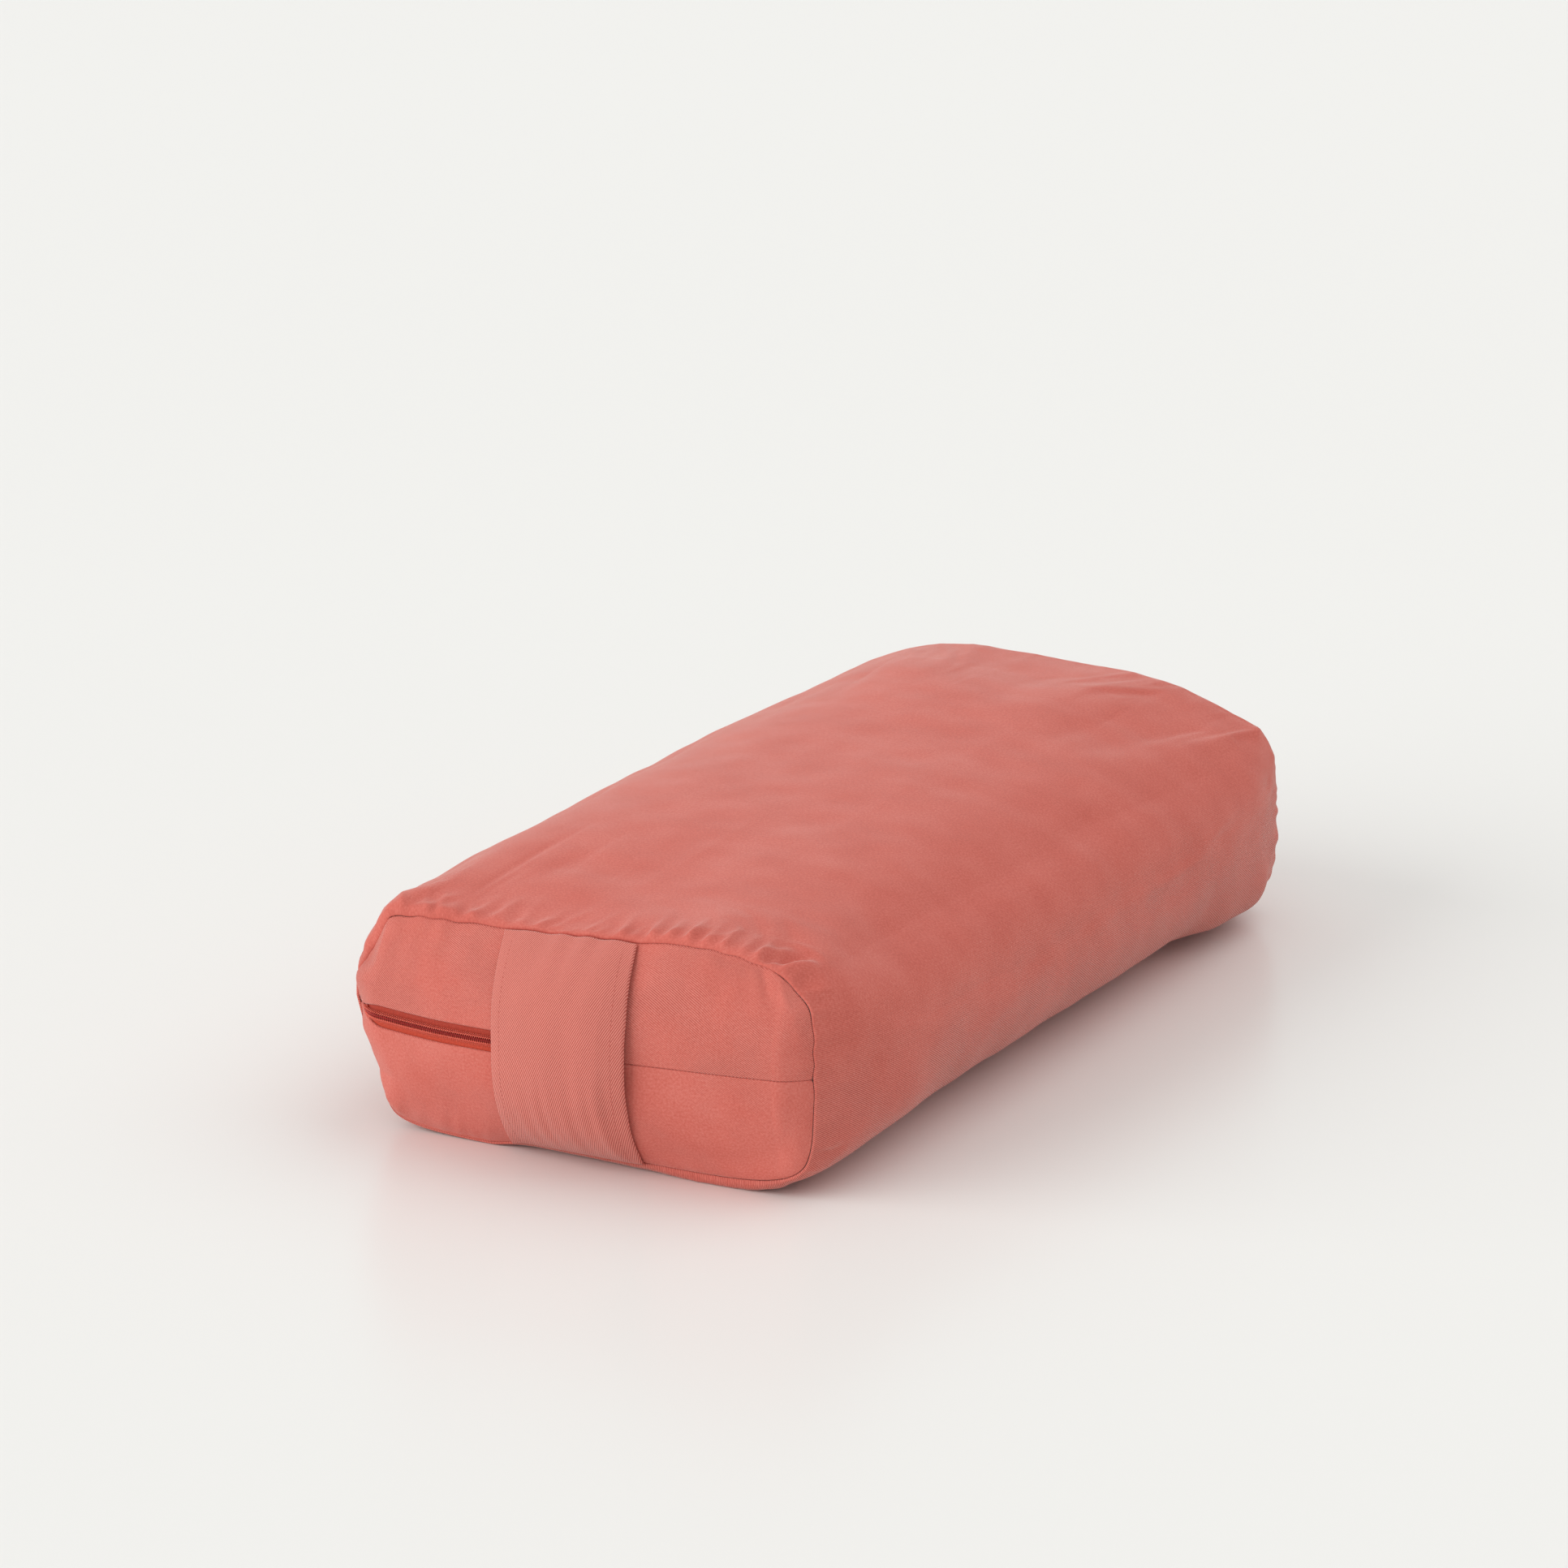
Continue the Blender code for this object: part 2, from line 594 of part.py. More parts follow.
def make_pull(slider, material):
    """Pull tab whose cross bar turns under the slider's bridge."""
    tab = prism(pull_outline(), -PULL / 2, PULL / 2, (0, 1, 2))
    pull = add_object("zip_pull", *tab, material, False)
    half_slot = BRIDGE_WIDTH / 2 + ZIP_PLAY
    slot_from, slot_to = -PULL / 2, -BRIDGE_LENGTH / 2 - BRIDGE_WALL
    slot = [(slot_to, -half_slot), (slot_from, -half_slot)]
    slot += [(slot_from, half_slot), (slot_to, half_slot)]
    centre = (PULL_HOLE - PULL_LENGTH, 0.0)
    hole = arc_points(centre, PULL_HOLE / 2, 0.0, math.tau, ROUND_STEPS)[:-1]
    turn_outwards(pull)
    pull.parent = slider
    pull.location = (0.0, 0.0, PLATE_FRONT + ZIP_PLAY + PULL / 2)
    for name, shape in (("pull_slot", slot), ("pull_hole", hole)):
        cutter = add_object(name, *prism(shape, -PULL, PULL, (0, 1, 2)), material, False)
        turn_outwards(cutter).parent = pull
        combine(pull, cutter, "DIFFERENCE")
    return pull


def stop_outline(side):
    """Clip round the inner edge of a tape, as seen along the zip."""
    edge = PARTING + ZIP_PLAY
    inner, outer = edge - ZIP_PLAY, edge + COIL_BACK
    front, rear = TAPE_FRONT + ZIP_PLAY, TAPE_BACK - ZIP_PLAY
    outline = [(outer, front), (inner, front), (inner, rear), (outer, rear)]
    outline += [(outer, rear - STOP_WALL), (inner - STOP_WALL, rear - STOP_WALL)]
    outline += [(inner - STOP_WALL, front + STOP_WALL), (outer, front + STOP_WALL)]
    return [(side * w, depth) for w, depth in outline]


def make_top_stop(name, side, material):
    """Clip on the end of one coil's tape that stops the slider when the zip is closed."""
    shape = prism(stop_outline(side), -STOP_LENGTH / 2, STOP_LENGTH / 2, (1, 2, 0))
    stop = turn_outwards(add_object(name, *shape, material, False))
    stop.matrix_basis = zip_frame(mix(STOPS_FROM, STOPS_TO, 0.5))
    return stop


def make_bottom_stop(material):
    """Clip over both coils that keeps the slider on the chain."""
    inner = COIL_BACK + ZIP_PLAY
    outer = inner + STOP_WALL
    top = COIL_FRONT + ZIP_PLAY
    roof = top + STOP_WALL
    outline = [(-outer, COIL_REAR), (-inner, COIL_REAR), (-inner, top), (inner, top)]
    outline += [(inner, COIL_REAR), (outer, COIL_REAR), (outer, roof), (-outer, roof)]
    shape = prism(outline, -STOP_LENGTH / 2, STOP_LENGTH / 2, (1, 2, 0))
    stop = turn_outwards(add_object("zip_bottom_stop", *shape, material, False))
    stop.matrix_basis = zip_frame(zip_path()[1][0] + CHAIN_END + STOP_LENGTH)
    return stop


def make_liner(material, slit_material):
    """Inner bag that holds the filling, with its filling slit behind the zip."""
    inset = CLOTH + GAP
    shape = stuffed_body(inset, LINER_SETBACK)
    liner = turn_outwards(add_object("liner_bag", *shape, material))
    shape = stuffed_body(inset + LINER_CLOTH, HOLLOW_SETBACK)
    hollow = turn_outwards(add_object("liner_hollow", *shape, slit_material))
    combine(liner, hollow, "DIFFERENCE")
    half_length, half_width = SLIT_LENGTH / 2, SLIT_WIDTH / 2
    outline = [(-half_length, -half_width), (half_length, -half_width)]
    outline += [(half_length, half_width), (-half_length, half_width)]
    outline = [(x, ZIP_HEIGHT + z) for x, z in outline]
    shape = prism(outline, -HALF_LENGTH - END_CROWN, -HALF_LENGTH, (0, 2, 1))
    slit = turn_outwards(add_object("liner_slit", *shape, slit_material, False))
    combine(liner, slit, "DIFFERENCE")
    return liner


def make_filling(material):
    """The filling, as one soft body."""
    inset = CLOTH + LINER_CLOTH + 2 * GAP
    shape = stuffed_body(inset, FILLING_SETBACK)
    return turn_outwards(add_object("filling", *shape, material))


def make_zip(cloth_red, nylon, metal):
    """The whole zip, with its slider turning about the panel's bend axis."""
    make_tape("zip_tape_upper", 1, cloth_red)
    make_tape("zip_tape_lower", -1, cloth_red)
    make_coil("zip_coil_upper", 1, nylon)
    make_coil("zip_coil_lower", -1, nylon)
    axis = bpy.data.objects.new("zip_travel_axis", None)
    bpy.context.scene.collection.objects.link(axis)
    axis.location = (0.0, CROWN_RADIUS - END_CROWN - HALF_LENGTH, ZIP_HEIGHT)
    axis.matrix_basis = Matrix.Translation(axis.location)
    slider = make_slider(axis, metal)
    make_pull(slider, metal)
    make_top_stop("zip_top_stop_upper", 1, metal)
    make_top_stop("zip_top_stop_lower", -1, metal)
    make_bottom_stop(metal)


def main():
    clear_scene()
    twill = finish_material("coral twill", (0.62, 0.20, 0.16), 0.92)
    tape = finish_material("red zip tape", (0.55, 0.08, 0.04), 0.8)
    nylon = finish_material("red nylon", (0.45, 0.05, 0.03), 0.45)
    metal = finish_material("painted zinc", (0.50, 0.07, 0.04), 0.4)
    calico = finish_material("unbleached calico", (0.72, 0.66, 0.55), 0.95)
    fluff = finish_material("filling", (0.85, 0.82, 0.74), 1.0)
    make_cover_wrap(twill)
    make_front_panel("front_panel_upper", 1, twill)
    make_front_panel("front_panel_lower", -1, twill)
    make_rear_panel(twill)
    make_carry_handle(twill)
    make_zip(tape, nylon, metal)
    make_liner(calico, fluff)
    make_filling(fluff)


main()
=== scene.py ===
# %% [markdown]
# # A rectangular yoga bolster
# The real object is a firm cushion in a cover of brushed cotton twill. One cloth wraps
# the top, the sides and the underside, and a panel closes each end. The near end has a
# zip, and a wide band over it is the carry handle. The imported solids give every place,
# and this file gives them cloth, thread and light. It starts by loading those solids.

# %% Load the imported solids
import json
import math

import bmesh
import bpy
import numpy as np
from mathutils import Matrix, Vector

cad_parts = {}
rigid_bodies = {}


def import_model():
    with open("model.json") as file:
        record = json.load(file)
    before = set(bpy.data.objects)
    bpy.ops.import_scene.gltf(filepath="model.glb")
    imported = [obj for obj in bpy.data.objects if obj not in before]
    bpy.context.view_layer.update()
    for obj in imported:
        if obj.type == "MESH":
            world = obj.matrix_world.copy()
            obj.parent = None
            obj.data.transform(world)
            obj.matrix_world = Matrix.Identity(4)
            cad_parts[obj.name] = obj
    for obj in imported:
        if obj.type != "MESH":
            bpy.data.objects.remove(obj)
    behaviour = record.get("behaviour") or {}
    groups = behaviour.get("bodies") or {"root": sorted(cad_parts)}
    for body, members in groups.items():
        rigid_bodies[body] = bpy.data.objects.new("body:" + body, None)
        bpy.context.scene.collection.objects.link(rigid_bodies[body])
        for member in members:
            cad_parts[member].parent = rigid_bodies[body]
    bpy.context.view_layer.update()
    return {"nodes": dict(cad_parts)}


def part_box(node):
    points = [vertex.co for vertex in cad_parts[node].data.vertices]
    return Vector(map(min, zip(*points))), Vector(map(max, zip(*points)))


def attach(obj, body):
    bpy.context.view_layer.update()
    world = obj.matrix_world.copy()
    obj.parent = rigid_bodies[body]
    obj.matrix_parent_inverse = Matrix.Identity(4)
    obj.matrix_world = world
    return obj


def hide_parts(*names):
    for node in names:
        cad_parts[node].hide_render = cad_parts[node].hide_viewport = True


for thing in list(bpy.data.objects):
    bpy.data.objects.remove(thing, do_unlink=True)
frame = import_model()
print("solids:", sorted(frame["nodes"]))

# %% [markdown]
# ## Sizes
# The outer sizes are read from the solids, so the cloth lands on them. The form of the
# stuffed body needs a few more numbers: how much narrower the end seams are than the
# middle, and how far the end panels bulge.

# %% Sizes of the stuffed cover, in metres
wrap_low, wrap_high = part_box("cover_wrap")
BODY_WIDTH = wrap_high.x - wrap_low.x
BODY_HEIGHT = wrap_high.z - wrap_low.z
SEAM_Y = wrap_high.y
SEAM_WIDTH = 0.271
SEAM_TOP = 0.125
SEAM_BOTTOM = 0.0045
REST_DEPTH = 0.008
MIDDLE_TOP_POWER = 3.35
MIDDLE_BOTTOM_POWER = 2.6
ZIP_Z = 0.068
CLOTH = 0.0012
RIM_HALF = 0.134
RIM_UP = 0.0555
RIM_DOWN = 0.062
END_CROWN = 0.027
CROWN_RADIUS = 0.700
RIM_WIDTH = 0.020
SEAM_POWER = 6
print("cover", round(BODY_WIDTH, 3), "x", round(2 * SEAM_Y, 3), "x", round(BODY_HEIGHT, 3))

# %% [markdown]
# ## The stuffed form
# A stuffed box is neither a box nor a tube. Cut across, it is a superellipse: a circle
# whose power is raised from 2 to about 3 in the middle and 6 at the end seams, so that
# the sides flatten and the corners stay soft. The size changes a little with the power.
# One function of two parameters, the place along and the angle round, gives it all.

# %% Steps, lengths and the superellipse


def blend(first, last, share):
    """first + (last - first) times share."""
    return first + (last - first) * share


def ramp(value, start, end):
    """0 before start, 1 after end, and 3 t squared - 2 t cubed between."""
    t = np.clip((value - start) / (end - start), 0, 1)
    return t * t * (3 - 2 * t)


def superellipse(angle, power):
    """Cosine and sine of the angle, each times (|cos|^n + |sin|^n)^(-1/n)."""
    cosine, sine = np.cos(angle), np.sin(angle)
    reach = (np.abs(cosine) ** power + np.abs(sine) ** power) ** (-1 / power)
    return cosine * reach, sine * reach


def unit(vectors):
    """Each vector divided by its length."""
    return vectors / np.maximum(np.linalg.norm(vectors, axis=-1, keepdims=True), 1e-12)


def running_length(points):
    """Length along a line of points, from its first point to each."""
    steps = np.linalg.norm(np.diff(points, axis=0), axis=-1)
    return np.concatenate([[0], np.cumsum(steps)])


print("half way up a step of 1:", ramp(0.5, 0.0, 1.0))

# %% Cross-section of the wrap
TAPER_POWER = 8
FULL_TURN = (-math.pi / 2, 1.5 * math.pi)
FINE_STEPS = 4001


def cover_surface(y, angle):
    """Superellipse |x/a|^n + |z/b|^n = 1 at the place y, narrowing with a high power of y."""
    taper = np.abs(y / SEAM_Y) ** TAPER_POWER
    half = blend(BODY_WIDTH / 2, SEAM_WIDTH / 2, taper)
    up = blend(BODY_HEIGHT, SEAM_TOP, taper) - ZIP_Z
    down = ZIP_Z - blend(-REST_DEPTH, SEAM_BOTTOM, taper)
    over = np.sin(angle) >= 0
    power = np.where(over, blend(MIDDLE_TOP_POWER, SEAM_POWER, taper),
                     blend(MIDDLE_BOTTOM_POWER, SEAM_POWER, taper))
    across, upwards = superellipse(angle, power)
    x = half * across
    z = ZIP_Z + np.where(over, up, down) * upwards
    return np.stack([x, y + 0 * x, np.maximum(z, 0)], axis=-1)


def even_angles(outline, start, end, count):
    """Angles at equal steps of length along an outline: its running length, inverted."""
    fine = np.linspace(start, end, FINE_STEPS)
    length = running_length(outline(fine))
    return np.interp(np.linspace(0, length[-1], count), length, fine), length[-1]


def end_seam(angle):
    """The line of an end seam."""
    return cover_surface(SEAM_Y + 0 * angle, angle)


AROUND = 440
seam_angles, SEAM_ROUND = even_angles(end_seam, *FULL_TURN, AROUND + 1)
print("end seam is", round(SEAM_ROUND, 3), "m round")

# %% [markdown]
# The end panels bulge past their seams. Their depth is a flat-topped crown: the bend of
# a large circle from side to side, times a term that rolls in over the last 20 mm beside
# the side seams, times a term that falls towards the top and bottom seams.

# %% Face of an end panel
RIM_POWER = 2.2
CROWN_POWER = 2.5
PROBE = 0.0001


def end_depth(x, z):
    """(crown - sagitta of x) * (1 - rolled^RIM_POWER) * (1 - rise^CROWN_POWER)."""
    across = END_CROWN - (CROWN_RADIUS - np.sqrt(CROWN_RADIUS ** 2 - x * x))
    rolled = np.clip((np.abs(x) - RIM_HALF + RIM_WIDTH) / RIM_WIDTH, 0, 1)
    width_left = np.maximum(1 - np.abs(x / RIM_HALF) ** SEAM_POWER, 0)
    height = np.where(z >= ZIP_Z, RIM_UP, RIM_DOWN)
    limit = np.maximum(height * width_left ** (1 / SEAM_POWER), PROBE)
    rise = np.clip(np.abs(z - ZIP_Z) / limit, 0, 1)
    return across * (1 - rolled ** RIM_POWER) * (1 - rise ** CROWN_POWER)


def face_point(x, z, depth=0):
    """The panel's surface point plus depth times its unit normal, outwards."""
    slope_x = (end_depth(x + PROBE, z) - end_depth(x - PROBE, z)) / (2 * PROBE)
    slope_z = (end_depth(x, z + PROBE) - end_depth(x, z - PROBE)) / (2 * PROBE)
    normal = unit(-np.stack([slope_x, np.ones_like(slope_x), slope_z], axis=-1))
    place = np.stack([x, -SEAM_Y - end_depth(x, z), z], axis=-1)
    return place + normal * (depth + 0 * x)[..., None]


print("end panel bulges", round(float(end_depth(np.zeros(1), np.full(1, ZIP_Z))[0]), 4), "m")

# %% [markdown]
# ## How this cushion has settled
# No stuffed cushion is even. This one has slumped at its near left corner, stands up at
# its near right corner, and is fuller and rounder at its far end. Each effect is a short
# table of moves against one coordinate, faded in along the others, so all cloth pieces
# take the same moves and stay together. The zip sags by only 1.4 mm, because the slider
# has to run along it.

# %% Tables of settling, in millimetres


def millimetres(*values):
    """The values as metres."""
    return np.array(values) / 1000


NEAR_TOP_X = millimetres(-155, -136, -131, -127, -124.5, -121, -109, -78, -38, 0, 32, 63, 86, 108, 127, 155)
NEAR_TOP_RISE = millimetres(-11, -11, -11, -8, -5, -1.5, -2.4, -3.5, -2, 0.5, 2, 5, 4.6, 2.5, 3.5, 4)
BEHIND_TOP_RISE = millimetres(-6, -6, -4.5, -3, -2.6, -2.3, -2.4, -3.5, -2, 0.5, 2, 5, 4.6, 2.5, 3.5, 4)
FAR_TOP_X = millimetres(-155, -134, -110, -80, -48, -17, 17, 47, 78, 109, 134, 155)
FAR_TOP_RISE = millimetres(-6, -5, -1, 5.5, 8, 7.5, 5, 4, 0, -8, -10, -10)
MIDDLE_TOP_X = millimetres(-155, -40, 0, 45, 80, 112, 134, 155)
MIDDLE_TOP_RISE = millimetres(0, 0, 0.6, -0.4, -3.2, -6, -6.5, -4)
NEAR_END_X = millimetres(-155, 26, 40, 64, 95, 116, 128, 155)
NEAR_END_BACK = millimetres(0, 0, 2.2, 4.1, 5.2, 6, 3, 0)
DROOP_X = millimetres(-134, -127, -113, -97, -77, -58, -39, -10)
DROOP = millimetres(0, -0.4, -1, -1.3, -1.4, -0.9, -0.3, 0)
LEFT_EDGE_Z = millimetres(0, 8, 20, 32, 45, 59, 70, 85, 97, 110, 132)
LEFT_EDGE_MOVE = millimetres(-1, 3, 8, 10, 6, 0.5, -2.6, -2, 2, 3, 3)
HEEL_IN, HEEL_DOWN = 0.005, 0.004
CORNER_AT, CORNER_REACH = (0.128, 0.113), 0.011
CORNER_IN, CORNER_DOWN = 0.0030, 0.0036
SEAM_WOBBLE = 0.0004
TUCK = 0.0036
AT_SEAM = (0.262, 0.275)
TOP_RIM = (0.082, 0.112)
print("the zip sags", round(float(-DROOP.min()), 4), "m")

# %% Settling


def top_moves(x, y, z):
    """Rise of the top: one table each at the near seam, behind it, in the middle and at the far end."""
    at_seam = ramp(-y, *AT_SEAM)
    behind = np.interp(x, NEAR_TOP_X, BEHIND_TOP_RISE)
    near = blend(behind, np.interp(x, NEAR_TOP_X, NEAR_TOP_RISE), at_seam)
    lift = near * ramp(-y, 0.212, 0.270) * ramp(z, *TOP_RIM)
    far = ramp(y, 0.060, 0.235)
    lift += np.interp(x, FAR_TOP_X, FAR_TOP_RISE) * far * ramp(z, 0.050, 0.110)
    middle = (1 - ramp(-y, 0.165, 0.262)) * (1 - far)
    return lift + np.interp(x, MIDDLE_TOP_X, MIDDLE_TOP_RISE) * middle * ramp(z, 0.050, 0.115)


def seam_moves(x, z):
    """Cut corner, slightly wavy line and tucked lower left of the near seam: moves along x and z."""
    cut = np.exp(-((x - CORNER_AT[0]) ** 2 + (z - CORNER_AT[1]) ** 2) / CORNER_REACH ** 2)
    edge = ramp(x, 0.120, 0.133) * ramp(z, 0.012, 0.025)
    aside = SEAM_WOBBLE * np.sin(z / 0.0037 + 1 + 3 * np.sin(z / 0.013)) * edge
    wave = SEAM_WOBBLE * np.sin(x / 0.0034 + 2 * np.sin(x / 0.015)) * ramp(z, *TOP_RIM)
    return aside - CORNER_IN * cut, wave - CORNER_DOWN * cut


def settle(points):
    """Each point plus table(x or z) times products of smooth steps along the other axes."""
    x, y, z = points[..., 0], points[..., 1], points[..., 2]
    lift = top_moves(x, y, z)
    left = ramp(-x, 0.085, 0.130) * ramp(-y, 0.225, 0.272)
    aside = np.interp(z, LEFT_EDGE_Z, LEFT_EDGE_MOVE) * left
    low_right = ramp(x, 0.095, 0.135) * ramp(-z, -0.050, -0.020)
    heel = low_right * ramp(y, 0.155, 0.200) * ramp(-y, -0.262, -0.236)
    aside += HEEL_IN * heel
    lift -= HEEL_DOWN * heel * ramp(z, 0.004, 0.016)
    end_face = ramp(-y, 0.277, 0.290)
    back = np.interp(x, NEAR_END_X, NEAR_END_BACK) * end_face
    beside_zip = ramp(-np.abs(z - ZIP_Z), -0.040, -0.008)
    lift += np.interp(x, DROOP_X, DROOP) * end_face * beside_zip
    at_seam = ramp(-y, *AT_SEAM)
    seam_aside, seam_lift = seam_moves(x, z)
    aside += seam_aside * at_seam
    tucked = ramp(-z, -0.030, -0.006) * ramp(-y, 0.262, 0.276)
    tucked *= ramp(-x, 0.030, 0.060) * ramp(x, -0.134, -0.118)
    lift += seam_lift * at_seam - TUCK * tucked
    return np.stack([x + aside, y + back, np.maximum(z + lift, 0)], axis=-1)


print("largest settling", round(float(np.abs(NEAR_TOP_RISE).max()), 4), "m")

# %% [markdown]
# ## Relief
# Flat cloth sewn round a curve has too much length at the seam, so it gathers in short
# ripples. Each ripple here is a bell across and a quick rise and slow fall away from the
# seam. Broad unevenness of the stuffing is a sum of long waves in random directions,
# from a seeded generator, so that each run gives the same cushion.

# %% Ripples, creases and unevenness
WAVES = 14


def swell(distance, reach):
    """d / reach * exp(1 - d / reach): 0 at a seam, 1 at the reach and falling behind it."""
    along = np.maximum(distance, 0) / reach
    return along * np.exp(1 - along)


def rounding(distance, radius):
    """1 - sqrt(1 - t squared), where t falls from 1 at an edge to 0 a radius away from it."""
    t = np.clip(1 - distance / radius, 0, 1)
    return 1 - np.sqrt(1 - t ** 2)


def ripples(place, distance, marks):
    """Sum of height * exp(-((place - at - lean * distance) / width)^2) * swell(distance)."""
    at, height, width, reach, lean = np.asarray(marks).T
    across = (place[..., None] - at - lean * distance[..., None]) / width
    return (height * np.exp(-across ** 2) * swell(distance[..., None], reach)).sum(axis=-1)


def crease(points, start, end, height, width):
    """height * exp(-(gap / width)^2) * sin(pi * share)^0.7: gap to a line, share along it."""
    line = end - start
    share = np.clip(((points - start) @ line) / (line @ line), 0, 1)
    gap = np.linalg.norm(points - start - share[..., None] * line, axis=-1)
    return height * np.exp(-(gap / width) ** 2) * np.sin(np.pi * np.clip(share, 0.03, 0.97)) ** 0.7


def unevenness(points, wave, seed):
    """Twice the mean of cosines with wavelengths near wave and random directions and phases."""
    random = np.random.default_rng(seed)
    direction = unit(random.normal(size=(WAVES, 3)))
    number = 2 * math.pi / (wave * random.uniform(0.7, 1.5, WAVES))
    phase = random.uniform(0, 2 * math.pi, WAVES)
    return np.cos(points @ (direction * number[:, None]).T + phase).mean(axis=-1) * 2


def grid_normals(points, closed):
    """Unit cross product of the two directions of a grid of points."""
    rows = np.gradient(points, axis=0)
    if closed:
        columns = np.roll(points, -1, axis=1) - np.roll(points, 1, axis=1)
    else:
        columns = np.gradient(points, axis=1)
    return unit(np.cross(columns, rows))


print("swell at its reach:", swell(0.006, 0.006))

# %% [markdown]
# ## From grids to closed cloth
# Every cloth piece is two grids, the face and the back, joined round their edges, which
# makes a closed solid with a real thickness. Index arrays give all faces at once. The UV
# map holds metres along and across the cloth, so a weave keeps its true scale.

# %% Grid builder


def numbers(grid, closed):
    """Number of each point of a grid; a closed grid ends with its first column again."""
    ids = np.arange(grid.shape[0] * grid.shape[1]).reshape(grid.shape[:2])
    return np.concatenate([ids, ids[:, :1]], axis=1) if closed else ids


def grid_quads(ids):
    """Corners of every cell of a grid of point numbers."""
    return np.stack([ids[:-1, :-1], ids[:-1, 1:], ids[1:, 1:], ids[1:, :-1]], axis=-1).reshape(-1, 4)


def edge_quads(near, far):
    """Cells between two lines of point numbers that run side by side."""
    return np.stack([near[1:], near[:-1], far[:-1], far[1:]], axis=-1)


def solid_quads(face, back, closed):
    """Faces of the face grid, the turned back grid and the strips that join their edges."""
    parts = [grid_quads(face), grid_quads(back)[:, ::-1]]
    parts += [edge_quads(face[0], back[0]), edge_quads(face[-1][::-1], back[-1][::-1])]
    if not closed:
        parts += [edge_quads(face[::-1, 0], back[::-1, 0]), edge_quads(face[:, -1], back[:, -1])]
    return np.concatenate(parts)


def add_object(name, data):
    """A new object in the scene."""
    made = bpy.data.objects.new(name, data)
    bpy.context.scene.collection.objects.link(made)
    return made


def put_mesh(name, points, quads, uv, material):
    """A mesh object at the origin, turned outwards by the sign of its volume."""
    a, b, c, d = (points[quads[:, k]] for k in range(4))
    volume = np.einsum("ij,ij->i", a, np.cross(b, c) + np.cross(c, d)).sum()
    if volume < 0:
        quads, uv = quads[:, ::-1], uv[:, ::-1]
    mesh = bpy.data.meshes.new(name)
    mesh.from_pydata(points.tolist(), [], quads.tolist())
    layer = mesh.uv_layers.new(name="cloth")
    layer.data.foreach_set("uv", uv.astype(np.float32).ravel())
    mesh.shade_smooth()
    mesh.materials.append(material)
    print(name, len(points), "points", len(quads), "faces")
    return add_object(name, mesh)


def cloth_piece(name, face, back, uv_face, uv_back, closed, material):
    """Closed cloth between two grids; uv grids have one more column where it is closed."""
    face_count, uv_count = face[..., 0].size, uv_face[..., 0].size
    quads = solid_quads(numbers(face, closed), numbers(back, closed) + face_count, closed)
    uv_quads = solid_quads(numbers(uv_face, False), numbers(uv_back, False) + uv_count, closed)
    points = np.concatenate([face.reshape(-1, 3), back.reshape(-1, 3)])
    places = np.concatenate([uv_face.reshape(-1, 2), uv_back.reshape(-1, 2)])
    return put_mesh(name, points, quads, places[uv_quads], material)


def close_pole(piece):
    """Merge the points that meet at a pole and drop an edge that is left through the cloth."""
    shape = bmesh.new()
    shape.from_mesh(piece.data)
    bmesh.ops.remove_doubles(shape, verts=shape.verts, dist=0.000001)
    loose = [edge for edge in shape.edges if not edge.link_faces]
    bmesh.ops.delete(shape, geom=loose, context="EDGES")
    shape.to_mesh(piece.data)
    shape.free()


def fit(piece, slot, *solids):
    """Let a piece ride with the bolster, and hide the solids that it stands for; the slot is not used."""
    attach(piece, "bolster")
    if solids:
        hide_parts(*solids)


# %% [markdown]
# ## Real cloth near the seams
# Gathers are made by pressure and by spare cloth, so they are simulated. The grid of a
# piece becomes a temporary mesh with Blender's Cloth. Its sewn edge is pinned, its cloth
# near the seam is a few percent longer than the seam, and air pressure pushes it out.
# After twenty frames the moves are read back, and no point may move further than a cap.
# Pinches that are sharper than the cloth's grid are added afterwards.

# %% Cloth simulation
SPARE_CLOTH = 0.05
FRAMES = 20
WEIGHT_STEPS = 20
MOST_MOVE = 0.006


